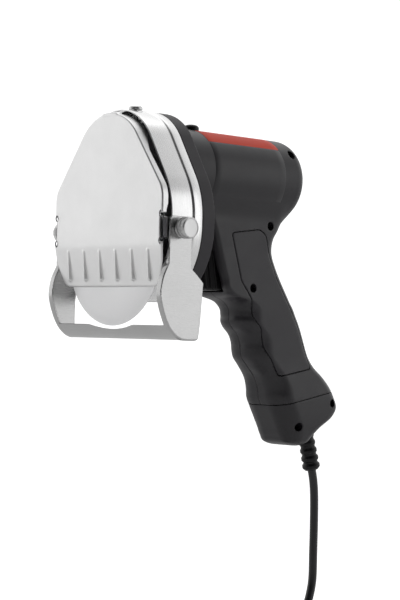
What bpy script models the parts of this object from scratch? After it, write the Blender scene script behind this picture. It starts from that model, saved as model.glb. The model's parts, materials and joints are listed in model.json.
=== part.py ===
"""Hand-held electric kebab slicer: round blade, tilting slice plate, swinging guard, pistol body.

Head frame: X to the right, Y from the slice plate back to the motor, Z up, with the blade's
axis at X = 0, Z = 0 and the plate's front face at Y = 0. Every piece hangs on the empty
slicer_frame, which puts the middle of the grip at the world's origin.
"""
import math

import bmesh
import bpy
from mathutils import Matrix, Vector

MM = 0.001

# Clearances and shared stock
seat_gap = 0.3 * MM
run_gap = 0.6 * MM
overrun = 5 * MM
weld_inset = 0.05 * MM
sheet_thickness = 1.2 * MM
strap_thickness = 1.5 * MM

# Blade and its seat
blade_radius = 50 * MM
blade_thickness = 1.3 * MM
blade_edge_thickness = 0.3 * MM
blade_bevel_width = 5.5 * MM
blade_front_y = 7.1 * MM
spindle_radius = 4.5 * MM
spindle_front_y = 4.9 * MM
blade_nut_radius = 11.5 * MM
blade_nut_thickness = 1.6 * MM
nut_pin_hole_radius = 1.6 * MM
nut_pin_hole_reach = 7.5 * MM
hub_flange_radius = 16 * MM
hub_flange_thickness = 3 * MM
hub_boss_radius = 8 * MM
hub_boss_length = 3 * MM

# Gear train: two steps between the motor and the blade
gear_module = 1.5 * MM
output_teeth = 32
idler_small_teeth = 12
idler_large_teeth = 36
motor_teeth = 8
gear_width = 4 * MM
gear_step = 0.8 * MM
addendum_share = 0.75
dedendum_share = 1.0
tooth_tip_share = 0.2
tooth_root_share = 0.56
idler_pin_radius = 2.5 * MM

# Head: the drum, the gear case and its cover
head_margin = 9.3 * MM
head_top_radius = 40 * MM
head_lower_z = 22 * MM
head_upper_z = 28 * MM
head_flat_drop = 55.5 * MM
drum_front_y = 9.0 * MM
drum_back_y = 37.5 * MM
drum_band_width = 10 * MM
drum_band_rise = 1 * MM
drum_wall = 1.2 * MM
case_depth = 13 * MM
case_wall = 2.2 * MM
case_chamfer = 1.6 * MM
case_boss_radius = 5 * MM
cover_inset = 7 * MM
cover_thickness = 3 * MM
bearing_outer_radius = 11 * MM
bearing_bore_radius = 4.8 * MM
bearing_width = 7 * MM
bearing_wall = 3 * MM
cover_boss_length = 16 * MM
rear_bearing_radius = 8 * MM
rear_bearing_width = 4 * MM
case_screw_radius = 1.8 * MM
case_screw_head_radius = 3.4 * MM
case_screw_head_height = 2 * MM
case_screw_low_x = 44 * MM
case_screw_low_z = 18 * MM
case_screw_high_x = 23 * MM
case_screw_high_z = 88 * MM

# Slice plate
plate_roof_gap = 2.4 * MM
plate_side_inset = 0.3 * MM
plate_shoulder_radius = 20 * MM
plate_shoulder_z = 39.8 * MM
plate_crease_z = 7 * MM
plate_drop = 31 * MM
plate_bend_deg = 9.5
plate_flange_depth = 4.2 * MM
plate_edge_soft = 0.5 * MM
plate_lower_shares = ((0.0, 1.0), (0.36, 0.975), (0.66, 0.925), (0.90, 0.862), (0.975, 0.825), (1.0, 0.775))
notch_low_z = 9 * MM
notch_high_z = 29 * MM
notch_depth = 2.6 * MM
ear_reach_y = 22 * MM
ear_inset = 4 * MM
ear_half_height = 7.5 * MM
ear_root_half_height = 8.5 * MM
rib_count = 6
rib_pitch = 17.5 * MM
rib_radius = 2.5 * MM
rib_top_z = 5.5 * MM
rib_length = 25.5 * MM
rib_bend_deg = 2.5
tongue_half_width = 7 * MM
tongue_end_wall = 2.3 * MM
tongue_slot_half_width = 2.7 * MM
tilt_limit_deg = 4.0

# Pivot line of the plate and the guard, with its thumb knobs
pivot_y = 15.7 * MM
pivot_z = 19 * MM
stud_radius = 2.6 * MM
knob_radius = 7.6 * MM
knob_neck_radius = 6.4 * MM
knob_groove_radius = 6.9 * MM
knob_end_x = 72.2 * MM
knob_cap_length = 3.9 * MM
knob_body_length = 3.2 * MM
knob_groove_width = 0.5 * MM
knob_edge_soft = 0.5 * MM
washer_radius = 6.9 * MM
washer_thickness = 1.2 * MM

# Springs beside the plate
plate_spring_radius = 1.4 * MM
plate_spring_wire = 0.7 * MM
plate_spring_turns = 9
plate_spring_pitch = 1.45 * MM
plate_spring_y = 3.6 * MM
plate_spring_out = 0.35 * MM
hook_reach = 2.1 * MM
curl_steps = 8

# Thickness clamp on top of the drum
clamp_y = 25 * MM
clamp_head_radius = 5 * MM
clamp_head_height = 2.7 * MM
clamp_head_soft = 0.8 * MM
clamp_slot_width = 1 * MM
clamp_slot_depth = 0.9 * MM
clamp_shank_radius = 2 * MM
clamp_nut_radius = 4.2 * MM
clamp_nut_height = 3 * MM
clamp_nut_drop = 1 * MM

# Guard bracket
guard_gap = 1.2 * MM
guard_strap_half_width = 10.5 * MM
guard_bottom_z = -59.8 * MM
guard_notch_half_width = 24 * MM
guard_notch_depth = 3.2 * MM
guard_reach = 38.4 * MM
guard_front_shares = ((0.115, -0.10), (0.0, -0.245), (-0.05, -0.36), (-0.065, -0.475),
                      (-0.02, -0.60), (0.04, -0.70), (0.13, -0.82), (0.24, -0.905), (0.37, -0.965),
                      (0.49, -0.993))
guard_paddle_shares = ((0.62, -1.0), (0.80, -1.0), (0.865, -0.985), (0.895, -0.95), (0.93, -0.80),
                       (0.96, -0.58), (0.99, -0.35), (0.985, -0.31), (0.83, -0.22), (0.70, -0.15),
                       (0.684, -0.10))
guard_plain_shares = ((0.60, -0.94), (0.585, -0.80), (0.59, -0.55), (0.64, -0.30), (0.684, -0.10))
guard_bar_first_share = 6
guard_swing_back_deg = 12
guard_swing_up_deg = 95

# Motor barrel and what turns in it
barrel_radius = 32 * MM
barrel_length = 126.3 * MM
barrel_shoulder = 12 * MM
barrel_wall = 2.8 * MM
motor_shaft_radius = 3 * MM
stator_fit = 1.7 * MM
stator_bore_share = 0.618
coil_overhang = 9 * MM
coil_outer_share = 0.909
armature_air_gap = 0.8 * MM
armature_slots = 12
armature_slot_share = 0.3
armature_slot_depth_share = 0.31
winding_share = 0.833
armature_sleeve = 1.5 * MM
commutator_share = 0.556
commutator_length = 11 * MM
fan_front_gap = 3.8 * MM
fan_fit = 4.2 * MM
fan_hub_radius = 8 * MM
fan_plate_thickness = 1.6 * MM
fan_blade_depth = 7 * MM
fan_blade_thickness = 1.5 * MM
fan_blades = 10
lock_collar_radius = 7 * MM
lock_collar_width = 6 * MM
lock_collar_sides = 6
motor_bearing_wall = 2.4 * MM
rear_bearing_inset = 13.4 * MM
rear_bearing_bridge_radius = 13 * MM
brush_width = 6 * MM

# Pistol body. The grip's outline is given in shares of its drop and its reach
neck_z = 26 * MM
grip_drop = 167 * MM
grip_reach = 236 * MM
grip_half_width = 20 * MM
grip_front_corner = 17 * MM
grip_back_corner = 14.5 * MM
grip_edge_corner = 4.5 * MM
grip_ledge_share = 0.32
grip_wall = 2.8 * MM
corner_steps = 3
# Each row: drop, front reach, back reach, half width
grip_shares = (
    (-0.156, 0.339, 0.703, 0.95), (-0.072, 0.347, 0.712, 1.03), (-0.012, 0.364, 0.697, 1.04),
    (0.036, 0.379, 0.676, 1.02), (0.096, 0.394, 0.670, 1.0), (0.174, 0.413, 0.692, 1.0),
    (0.228, 0.428, 0.715, 1.0), (0.285, 0.446, 0.742, 1.0), (0.308, 0.462, 0.753, 1.0),
    (0.325, 0.495, 0.761, 1.0), (0.350, 0.519, 0.775, 1.0), (0.392, 0.531, 0.792, 1.0),
    (0.424, 0.532, 0.805, 1.0), (0.446, 0.543, 0.813, 1.0), (0.477, 0.567, 0.823, 1.0),
    (0.514, 0.581, 0.834, 1.0), (0.551, 0.585, 0.845, 1.0), (0.584, 0.592, 0.857, 1.0),
    (0.627, 0.620, 0.882, 1.02), (0.675, 0.652, 0.921, 1.09), (0.729, 0.670, 0.955, 1.15),
    (0.772, 0.676, 0.972, 1.18), (0.820, 0.693, 0.985, 1.18), (0.867, 0.711, 0.962, 1.17),
    (0.914, 0.729, 0.908, 1.13), (0.952, 0.742, 0.873, 1.06), (0.982, 0.757, 0.852, 0.94),
    (1.0, 0.782, 0.830, 0.72))
grip_cavity_shares = (
    (-0.156, 0.339, 0.703, 0.95), (-0.012, 0.364, 0.697, 1.04), (0.096, 0.394, 0.670, 1.0),
    (0.228, 0.428, 0.715, 1.0), (0.285, 0.460, 0.742, 1.0), (0.308, 0.490, 0.753, 1.0),
    (0.350, 0.526, 0.775, 1.0), (0.424, 0.540, 0.805, 1.0), (0.514, 0.583, 0.834, 1.0), (0.584, 0.596, 0.857, 1.0), (0.675, 0.660, 0.915, 1.07),
    (0.772, 0.690, 0.962, 1.15), (0.867, 0.718, 0.945, 1.12), (0.952, 0.752, 0.868, 1.0))
seam_drop_share = 0.774
seam_reach_share = 0.815
seam_tilt_deg = 10.5
cap_screw_shares = ((0.905, 0.775), (0.797, 0.932))
body_screw_shares = ((0.268, 0.554), (-0.021, 0.625))
barrel_screw_up_share = 0.64
barrel_screw_inset = 6.9 * MM
screw_radius = 1.7 * MM
screw_head_radius = 2.9 * MM
screw_well_radius = 3.3 * MM
screw_boss_radius = 4.8 * MM
screw_head_x = 13 * MM
screw_head_height = 2 * MM
screw_tip_x = -12 * MM

# Side panels let into the grip
panel_depth = 1.5 * MM
panel_proud = 0.15 * MM
panel_gap = 0.4 * MM
panel_shares = (
    (0.024, 0.452), (0.000, 0.575), (0.022, 0.604), (0.110, 0.624), (0.222, 0.664),
    (0.337, 0.722), (0.452, 0.775), (0.592, 0.820), (0.634, 0.830), (0.668, 0.685),
    (0.640, 0.672), (0.590, 0.648), (0.545, 0.622), (0.500, 0.613), (0.450, 0.600),
    (0.425, 0.582), (0.395, 0.566), (0.345, 0.560), (0.300, 0.540), (0.270, 0.522),
    (0.235, 0.500), (0.120, 0.475))

# Trigger and switch
trigger_half_width = 12.5 * MM
trigger_front_share = 0.356
trigger_depth = 22 * MM
trigger_top_z = 17 * MM
trigger_bottom_z = -21.5 * MM
trigger_lean = 6 * MM
trigger_travel = 5 * MM
trigger_ribs = 9
trigger_rib_pitch_deg = 20
trigger_rib_width_deg = 7
trigger_rib_rise = 0.9 * MM
stem_radius = 2.2 * MM
stem_length = 16 * MM
switch_half_width = 9 * MM
switch_front_gap = 4.5 * MM
switch_depth = 26 * MM
switch_height = 23 * MM
switch_mid_z = 0.5 * MM
spring_wire = 0.8 * MM
trigger_spring_radius = 4 * MM
trigger_spring_turns = 4

# Spindle lock button on top of the barrel
lock_reach_share = 0.233
lock_radius = 6 * MM
lock_rise = 4.4 * MM
lock_skirt = 3 * MM
lock_pin_radius = 2 * MM
lock_pin_end_gap = 3.5 * MM
lock_travel = 3 * MM
lock_guide_wall = 1.6 * MM
lock_guide_height = 9 * MM
lock_spring_turns = 4

# Small electric pieces in the grip
suppressor_depth = 14 * MM
suppressor_height = 15 * MM
suppressor_half_width = 16.7 * MM
suppressor_share = (0.46, 0.70)
terminal_depth = 16 * MM
terminal_height = 9 * MM
terminal_half_width = 17.6 * MM
terminal_share = (0.70, 0.80)
clamp_bar_depth = 9 * MM
clamp_bar_height = 5 * MM
clamp_bar_half_width = 18.9 * MM
clamp_bar_share = (0.82, 0.865)

# Strain relief, mains lead, its coil and plug
lead_diameter = 6.7 * MM
relief_share = (0.935, 0.905)
relief_tilt_deg = 15.7
relief_length = 32 * MM
relief_ring_radius = 7.3 * MM
relief_groove_radius = 5.9 * MM
relief_rings = 5
relief_taper = 0.9 * MM
floor_z = -312 * MM
coil_outer_loop_radius = 46 * MM
coil_pitch = 7.3 * MM
coil_lift = 1.2 * MM
coil_lower_turns = 2.75
coil_upper_turns = 3.8
coil_loop_steps = 24
coil_touchdown = (0, 132 * MM)
tie_thickness = 0.8 * MM
tie_width = 9 * MM
tie_clearance = 0.5 * MM
plug_length = 36 * MM
plug_half_width = 17 * MM
plug_half_height = 6.8 * MM
plug_nose_length = 9 * MM
plug_pin_length = 19 * MM
plug_pin_radius = 2 * MM
plug_pin_half_spacing = 9.3 * MM
plug_sleeve_length = 9 * MM
plug_pin_neck = 0.1 * MM
plug_insert_margin = 2.2 * MM
plug_insert_depth = 6 * MM

# Where the hand holds it: this point becomes the world's origin
hold_y = 168 * MM
hold_z = -60 * MM

# Facet counts
round_sides = 24
small_sides = 12
inner_sides = 16
barrel_sides = 32
outline_steps = 7

# Places worked out from the sizes above
head_radius = blade_radius + head_margin
idler_z = gear_module * (output_teeth + idler_small_teeth) / 2
motor_z = idler_z + gear_module * (idler_large_teeth + motor_teeth) / 2
head_flat_z = head_lower_z - head_flat_drop
plate_top_radius = head_top_radius - drum_wall - plate_roof_gap
plate_half_width = head_radius - plate_side_inset
case_front_y = drum_back_y + seat_gap
case_back_y = case_front_y + case_depth
front_gear_y = case_front_y + gear_step
rear_gear_y = front_gear_y + gear_width + gear_step
case_floor_y = rear_gear_y + gear_width + gear_step
barrel_front_y = case_back_y + seat_gap
barrel_back_y = barrel_front_y + barrel_length
blade_back_y = blade_front_y + blade_thickness
guard_inner_x = head_radius + drum_band_rise + seat_gap
guard_outer_x = guard_inner_x + strap_thickness
stator_radius = barrel_radius - barrel_wall - stator_fit
stator_bore_radius = stator_radius * stator_bore_share
coil_outer_radius = stator_radius * coil_outer_share
armature_radius = stator_bore_radius - armature_air_gap
winding_radius = armature_radius * winding_share
commutator_radius = armature_radius * commutator_share
fan_radius = barrel_radius - barrel_wall - fan_fit
fan_y = case_floor_y + bearing_width + fan_front_gap + fan_blade_depth
lock_y = barrel_front_y + barrel_length * lock_reach_share
rear_motor_bearing_y = barrel_back_y - rear_bearing_inset
commutator_start_y = rear_motor_bearing_y - bearing_width / 2 - run_gap - commutator_length
stator_end_y = commutator_start_y - run_gap - seat_gap - coil_overhang
stator_start_y = lock_y + lock_collar_width / 2 + 2 * run_gap + seat_gap + coil_overhang
trigger_front_y = grip_reach * trigger_front_share
trigger_back_y = trigger_front_y + trigger_depth
switch_front_y = trigger_back_y + trigger_travel + switch_front_gap

parts = bpy.data.collections.new("electric_kebab_slicer")
cutters = bpy.data.collections.new("cutters")


def clear_scene():
    for item in list(bpy.data.objects):
        bpy.data.objects.remove(item, do_unlink=True)


def look(name, colour, roughness, metallic=0.0):
    """A plain Principled material."""
    made = bpy.data.materials.new(name)
    made.use_nodes = True
    shader = made.node_tree.nodes["Principled BSDF"]
    shader.inputs["Base Color"].default_value = (*colour, 1.0)
    shader.inputs["Roughness"].default_value = roughness
    shader.inputs["Metallic"].default_value = metallic
    return made


def evaluated_mesh(item):
    """The item's mesh with its modifiers or its curve's bevel applied."""
    bpy.context.view_layer.update()
    graph = bpy.context.evaluated_depsgraph_get()
    return bpy.data.meshes.new_from_object(item.evaluated_get(graph))


def tidy_mesh(mesh):
    """Weld the loose caps and turn every face outward."""
    cage = bmesh.new()
    cage.from_mesh(mesh)
    bmesh.ops.remove_doubles(cage, verts=cage.verts, dist=weld_inset / 50)
    bmesh.ops.recalc_face_normals(cage, faces=cage.faces)
    cage.to_mesh(mesh)
    cage.free()
    return mesh


def axis_turn(axis):
    """The turn that brings a shape drawn about local Z onto the named axis."""
    if axis == "X":
        return Matrix(((0, 0, 1, 0), (1, 0, 0, 0), (0, 1, 0, 0), (0, 0, 0, 1)))
    if axis == "Y":
        return Matrix(((1, 0, 0, 0), (0, 0, 1, 0), (0, -1, 0, 0), (0, 0, 0, 1)))
    return Matrix.Identity(4)


def flat_mesh(outline, start, end, axis, holes=()):
    """A filled outline, extruded from start to end. Axis Y takes (x, z) points, X takes (y, z)."""
    curve = bpy.data.curves.new("outline", "CURVE")
    curve.dimensions = "2D"
    curve.fill_mode = "BOTH"
    curve.extrude = abs(end - start) / 2
    for ring in (outline, *holes):
        spline = curve.splines.new("POLY")
        spline.points.add(len(ring) - 1)
        for point, (a, b) in zip(spline.points, ring):
            point.co = (a, b, 0, 1)
        spline.use_cyclic_u = True
    item = bpy.data.objects.new("outline", curve)
    bpy.context.scene.collection.objects.link(item)
    mesh = evaluated_mesh(item)
    bpy.data.objects.remove(item)
    middle = (start + end) / 2
    if axis == "Y":
        turn = Matrix.Translation((0, middle, 0)) @ Matrix.Rotation(math.pi / 2, 4, "X")
    elif axis == "X":
        turn = Matrix.Translation((middle, 0, 0)) @ axis_turn("X")
    else:
        turn = Matrix.Translation((0, 0, middle))
    mesh.transform(turn)
    return tidy_mesh(mesh)


def turned_mesh(profile, axis, centre=(0, 0, 0), sides=round_sides, closed=False):
    """A profile of (radius, height) points, turned about the axis through centre."""
    mesh = bpy.data.meshes.new("profile")
    points = [(radius, 0, height) for radius, height in profile]
    edges = [(i, i + 1) for i in range(len(points) - 1)]
    if closed:
        edges.append((len(points) - 1, 0))
    mesh.from_pydata(points, edges, [])
    item = bpy.data.objects.new("profile", mesh)
    bpy.context.scene.collection.objects.link(item)
    screw = item.modifiers.new("turn", "SCREW")
    screw.steps = sides
    screw.render_steps = sides
    screw.use_merge_vertices = True
    screw.merge_threshold = weld_inset / 50
    solid = evaluated_mesh(item)
    bpy.data.objects.remove(item)
    solid.transform(Matrix.Translation(centre) @ axis_turn(axis))
    return tidy_mesh(solid)


def rod_mesh(radius, start, end, axis, centre=(0, 0, 0), sides=round_sides):
    """A cylinder from start to end along the axis, through centre."""
    cage = bmesh.new()
    bmesh.ops.create_cone(cage, cap_ends=True, segments=sides, radius1=radius, radius2=radius,
                          depth=end - start)
    mesh = bpy.data.meshes.new("rod")
    cage.to_mesh(mesh)
    cage.free()
    mesh.transform(Matrix.Translation((0, 0, (start + end) / 2)))
    mesh.transform(Matrix.Translation(centre) @ axis_turn(axis))
    return tidy_mesh(mesh)


def box_mesh(low, high):
    """A box between two corners."""
    low, high = Vector(low), Vector(high)
    cage = bmesh.new()
    bmesh.ops.create_cube(cage, size=1)
    mesh = bpy.data.meshes.new("box")
    cage.to_mesh(mesh)
    cage.free()
    size = high - low
    mesh.transform(Matrix.Translation((low + high) / 2) @ Matrix.Diagonal((*size, 1)))
    return mesh


def loft_mesh(rings):
    """Rings of the same number of points, skinned one to the next and capped at both ends."""
    cage = bmesh.new()
    rows = [[cage.verts.new(point) for point in ring] for ring in rings]
    count = len(rows[0])
    for lower, upper in zip(rows, rows[1:]):
        for i in range(count):
            j = (i + 1) % count
            cage.faces.new((lower[i], lower[j], upper[j], upper[i]))
    cage.faces.new(rows[0])
    cage.faces.new(rows[-1])
    mesh = bpy.data.meshes.new("loft")
    cage.to_mesh(mesh)
    cage.free()
    return tidy_mesh(mesh)


def add_part(name, mesh, material, pivot=(0, 0, 0), parent=None, smooth_deg=35):
    """One node of the model, drawn in its parent's frame, with its origin at pivot."""
    mesh.transform(Matrix.Translation(-Vector(pivot)))
    mesh.name = name
    mesh.materials.clear()
    mesh.materials.append(material)
    mesh.shade_smooth()
    mesh.set_sharp_from_angle(angle=math.radians(smooth_deg))
    item = bpy.data.objects.new(name, mesh)
    parts.objects.link(item)
    item.parent = parent or slicer_frame
    item.location = pivot
    return item


def shape(item, mesh, operation):
    """Cut a tool mesh from an item, join it on, or keep only what lies inside it."""
    tool = bpy.data.objects.new("tool_" + item.name, mesh)
    cutters.objects.link(tool)
    tool.parent = item.parent
    tool.hide_render = True
    tool.display_type = "WIRE"
    step = item.modifiers.new(operation.lower(), "BOOLEAN")
    step.operation = operation
    step.object = tool
    step.solver = "EXACT"
    return tool


def cut(item, mesh):
    return shape(item, mesh, "DIFFERENCE")


def join(item, mesh):
    return shape(item, mesh, "UNION")


def keep(item, mesh):
    return shape(item, mesh, "INTERSECT")


def tube_part(name, points, diameter, material, parent=None, resolution=1):
    """A round wire or lead along points, with filled ends."""
    curve = bpy.data.curves.new(name, "CURVE")
    curve.dimensions = "3D"
    curve.bevel_depth = diameter / 2
    curve.bevel_resolution = resolution
    curve.use_fill_caps = True
    curve.resolution_u = 1
    curve.render_resolution_u = 0
    spline = curve.splines.new("POLY")
    spline.points.add(len(points) - 1)
    for point, place in zip(spline.points, points):
        point.co = (*place, 1)
    curve.materials.append(material)
    item = bpy.data.objects.new(name, curve)
    parts.objects.link(item)
    item.parent = parent or slicer_frame
    return item


def arc(centre, radius, start_deg, end_deg, steps):
    """Points along an arc, both ends included."""
    points = []
    for i in range(steps + 1):
        angle = math.radians(start_deg + (end_deg - start_deg) * i / steps)
        points.append((centre[0] + radius * math.cos(angle), centre[1] + radius * math.sin(angle)))
    return points


def mirrored(right_half):
    """Close an outline whose right half runs from the bottom to the top."""
    return right_half + [(-x, z) for x, z in reversed(right_half) if abs(x) > weld_inset]


def head_outline(grow=0.0):
    """The egg that the drum and the gear case share: two circles and their common tangents."""
    big = head_radius + grow
    small = head_top_radius + grow
    flat = head_flat_z - grow
    start = math.degrees(math.asin((flat - head_lower_z) / big))
    lean = math.degrees(math.asin((big - small) / (motor_z - head_upper_z)))
    half = arc((0, head_lower_z), big, start, 0, outline_steps)
    half += arc((0, head_upper_z), big, 0, lean, outline_steps // 2)
    half += arc((0, motor_z), small, lean, 90, outline_steps)
    return mirrored(half)


def plate_outline(grow=0.0):
    """Slice plate: round top, straight flanks, round shoulders and a tapering lower edge."""
    width = plate_half_width + grow
    shoulder = (plate_half_width - plate_shoulder_radius, plate_shoulder_z)
    away = Vector((shoulder[0], shoulder[1] - motor_z))
    lean = math.degrees(math.acos((plate_top_radius - plate_shoulder_radius) / away.length)
                        + math.atan2(away[1], away[0]))
    half = [(width * wide, plate_crease_z - plate_drop * down) for down, wide in reversed(plate_lower_shares)]
    half += arc(shoulder, plate_shoulder_radius + grow, 0, lean, outline_steps // 2)
    half += arc((0, motor_z), plate_top_radius + grow, lean, 90, outline_steps)
    return mirrored(half)


def swept_shell(profile, outline):
    """A cup or block: the outline repeated at each (y, grow) of the profile, capped at both ends."""
    rings = []
    for y, grow in profile:
        rings.append([(x, y, z) for x, z in outline(grow)])
    return loft_mesh(rings)


def gear_outline(teeth, centre=(0, 0), phase=0.0):
    """Straight-sided teeth with backlash, counted from phase, in tooth pitches."""
    pitch_radius = gear_module * teeth / 2
    root = pitch_radius - gear_module * dedendum_share
    tip = pitch_radius + gear_module * addendum_share
    step = 2 * math.pi / teeth
    points = []
    for tooth in range(teeth):
        middle = (tooth + phase) * step
        for radius, share in ((root, -tooth_root_share), (tip, -tooth_tip_share),
                              (tip, tooth_tip_share), (root, tooth_root_share)):
            angle = middle + share * step / 2
            points.append((centre[0] + radius * math.cos(angle), centre[1] + radius * math.sin(angle)))
    return points


def tooth_toward(teeth, quarters):
    """Phase that turns a tooth toward a direction, given in quarter turns from X."""
    return teeth * quarters / 4 % 1


def grip_place(place_share):
    """Y and Z of a place given as (drop share, reach share)."""
    drop, reach = place_share
    return reach * grip_reach, neck_z - drop * grip_drop


def grip_ring(row, inset):
    """One level of the grip: a rounded rectangle in plan."""
    drop, front, back, wide = row
    half = grip_half_width * wide - inset
    y_front = front * grip_reach + inset
    y_back = back * grip_reach - inset
    z = neck_z - drop * grip_drop
    room = min(half, (y_back - y_front) / 2) * 0.98
    front_corner = min(grip_front_corner if drop > grip_ledge_share else grip_edge_corner, room)
    back_corner = min(grip_back_corner, room)
    ring = arc((half - back_corner, y_back - back_corner), back_corner, 0, 90, corner_steps)
    ring += arc((back_corner - half, y_back - back_corner), back_corner, 90, 180, corner_steps)
    ring += arc((front_corner - half, y_front + front_corner), front_corner, 180, 270, corner_steps)
    ring += arc((half - front_corner, y_front + front_corner), front_corner, 270, 360, corner_steps)
    return [(x, y, z) for x, y in ring]


def barrel_profile(inset):
    """Motor barrel with a rounded rear shoulder."""
    radius = barrel_radius - inset
    back = barrel_back_y - inset
    shoulder = barrel_shoulder - inset
    profile = [(0, back)]
    for i in range(5):
        angle = math.radians(90 - 90 * i / 4)
        profile.append((radius - shoulder + shoulder * math.cos(angle), back - shoulder + shoulder * math.sin(angle)))
    front = barrel_front_y if not inset else barrel_front_y - overrun
    profile += [(radius, front), (0, front)]
    return profile


def seam_box(side, upper):
    """A large box on one side of the middle plane, above or below the end cap's slanting seam."""
    y, z = grip_place((seam_drop_share, seam_reach_share))
    size = grip_reach
    split = seat_gap / 2
    low_z, high_z = (split, size) if upper else (-size, -split)
    if side > 0:
        mesh = box_mesh((split, -size, low_z), (size, size, high_z))
    elif side < 0:
        mesh = box_mesh((-size, -size, low_z), (-split, size, high_z))
    else:
        mesh = box_mesh((-size, -size, low_z), (size, size, high_z))
    mesh.transform(Matrix.Translation((0, y, z)) @ Matrix.Rotation(math.radians(seam_tilt_deg), 4, "X"))
    return mesh


def helix(radius, turns, start_z, pitch, points_per_turn=curl_steps):
    """Points of a coil spring about Z."""
    count = int(turns * points_per_turn)
    points = []
    for i in range(count + 1):
        angle = 2 * math.pi * i / points_per_turn
        points.append((radius * math.cos(angle), radius * math.sin(angle), start_z + pitch * i / points_per_turn))
    return points


def least_gap(points, diameter):
    """The least clear distance of a wound tube to its own other turns."""
    skip = curl_steps // 2 + 1
    nearest = None
    for i, first in enumerate(points):
        for other in points[i + skip:]:
            distance = (Vector(first) - Vector(other)).length
            if nearest is None or distance < nearest:
                nearest = distance
    return nearest - diameter


clear_scene()
bpy.context.scene.collection.children.link(parts)
bpy.context.scene.collection.children.link(cutters)
slicer_frame = bpy.data.objects.new("slicer_frame", None)
parts.objects.link(slicer_frame)
slicer_frame.location = (0, -hold_y, -hold_z)

satin_steel = look("satin_steel", (0.78, 0.78, 0.79), 0.32, 1.0)
bright_steel = look("bright_steel", (0.84, 0.84, 0.85), 0.2, 1.0)
spring_steel = look("spring_steel", (0.35, 0.35, 0.37), 0.3, 1.0)
black_plastic = look("black_plastic", (0.035, 0.033, 0.037), 0.5)
black_rubber = look("black_rubber", (0.02, 0.02, 0.022), 0.7)
grey_plastic = look("grey_plastic", (0.3, 0.3, 0.32), 0.5)
copper = look("copper", (0.72, 0.36, 0.2), 0.35, 1.0)
iron = look("laminated_iron", (0.4, 0.4, 0.42), 0.45, 1.0)
film_yellow = look("film_yellow", (0.75, 0.6, 0.3), 0.3)


def bevelled_disc(radius, centre, front_y, back_y, soft):
    """Profile of a disc with softened outer edges, from its back to its front."""
    return [(0, back_y), (radius - soft, back_y), (radius, back_y - soft), (radius, front_y + soft),
            (radius - soft, front_y), (0, front_y)]


def make_blade_set():
    """Blade, nut, flanged spindle and the large gear: all that turns with the blade."""
    bore = spindle_radius + seat_gap
    blade = [(bore, blade_back_y), (blade_radius - blade_bevel_width, blade_back_y),
             (blade_radius, blade_front_y + blade_edge_thickness), (blade_radius, blade_front_y),
             (bore, blade_front_y)]
    add_part("blade", turned_mesh(blade, "Y", sides=2 * round_sides, closed=True), satin_steel)

    nut_back = blade_front_y - seat_gap
    nut_front = nut_back - blade_nut_thickness
    nut = add_part("blade_nut", turned_mesh(
        [(bore, nut_back), (blade_nut_radius, nut_back), (blade_nut_radius, nut_front + plate_edge_soft),
         (blade_nut_radius - plate_edge_soft, nut_front), (bore, nut_front)], "Y", closed=True), bright_steel)
    for side in (-1, 1):
        cut(nut, rod_mesh(nut_pin_hole_radius, nut_front - overrun, nut_back + overrun, "Y",
                          (side * nut_pin_hole_reach, 0, 0), small_sides))

    flange_front = blade_back_y + seat_gap
    flange_back = flange_front + hub_flange_thickness
    boss_back = flange_back + hub_boss_length
    spindle_back = case_floor_y + rear_bearing_width + seat_gap
    add_part("spindle", turned_mesh(
        [(0, spindle_back), (spindle_radius, spindle_back), (spindle_radius, boss_back),
         (hub_boss_radius, boss_back), (hub_boss_radius, flange_back), (hub_flange_radius, flange_back),
         (hub_flange_radius, flange_front), (spindle_radius, flange_front),
         (spindle_radius, spindle_front_y + plate_edge_soft),
         (spindle_radius - plate_edge_soft, spindle_front_y), (0, spindle_front_y)], "Y"), bright_steel)

    add_part("output_gear", flat_mesh(
        gear_outline(output_teeth, phase=tooth_toward(output_teeth, 1)), front_gear_y, front_gear_y + gear_width, "Y",
        [arc((0, 0), bore, 0, 345, 23)]), iron)


def make_idler():
    """Compound gear on its fixed pin."""
    centre = (0, idler_z)
    bore = idler_pin_radius + seat_gap
    small = front_gear_y, front_gear_y + gear_width + gear_step / 2
    hole = arc(centre, bore, 0, 345, 15)
    gear = add_part("idler_gear", flat_mesh(
        gear_outline(idler_large_teeth, centre, tooth_toward(idler_large_teeth, 1) + 0.5), rear_gear_y, rear_gear_y + gear_width, "Y", [hole]),
        iron, (0, 0, idler_z))
    phase = tooth_toward(idler_small_teeth, 3) + 0.5
    join(gear, flat_mesh(gear_outline(idler_small_teeth, centre, phase), small[0], rear_gear_y + weld_inset, "Y",
                         [hole]))
    add_part("idler_pin", rod_mesh(idler_pin_radius, drum_back_y - drum_wall - cover_thickness,
                                   case_floor_y + seat_gap * 5, "Y", centre=(0, 0, idler_z), sides=small_sides),
             bright_steel)


def make_drum():
    """Sheet-steel drum with a wider band where it sits on the gear case."""
    band = drum_back_y - drum_band_width
    profile = [(drum_back_y - drum_wall, drum_band_rise - drum_wall), (band + drum_band_rise, drum_band_rise - drum_wall),
               (band, -drum_wall), (drum_front_y, -drum_wall), (drum_front_y, 0), (band - drum_band_rise, 0),
               (band, drum_band_rise), (drum_back_y, drum_band_rise)]
    drum = add_part("drum", swept_shell(profile, head_outline), satin_steel)
    cut(drum, rod_mesh(bearing_outer_radius, band, drum_back_y + overrun, "Y"))
    cut(drum, rod_mesh(idler_pin_radius + seat_gap, band, drum_back_y + overrun, "Y", (0, 0, idler_z), small_sides))
    for place in case_screw_places():
        cut(drum, rod_mesh(case_screw_radius + seat_gap, band, drum_back_y + overrun, "Y", place, small_sides))
    cut(drum, rod_mesh(stud_radius + seat_gap, -2 * head_radius, 2 * head_radius, "X",
                       (0, pivot_y, pivot_z), small_sides))
    cut(drum, rod_mesh(clamp_shank_radius + seat_gap, motor_z, motor_z + 2 * head_top_radius, "Z",
                       (0, clamp_y, 0), small_sides))


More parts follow.
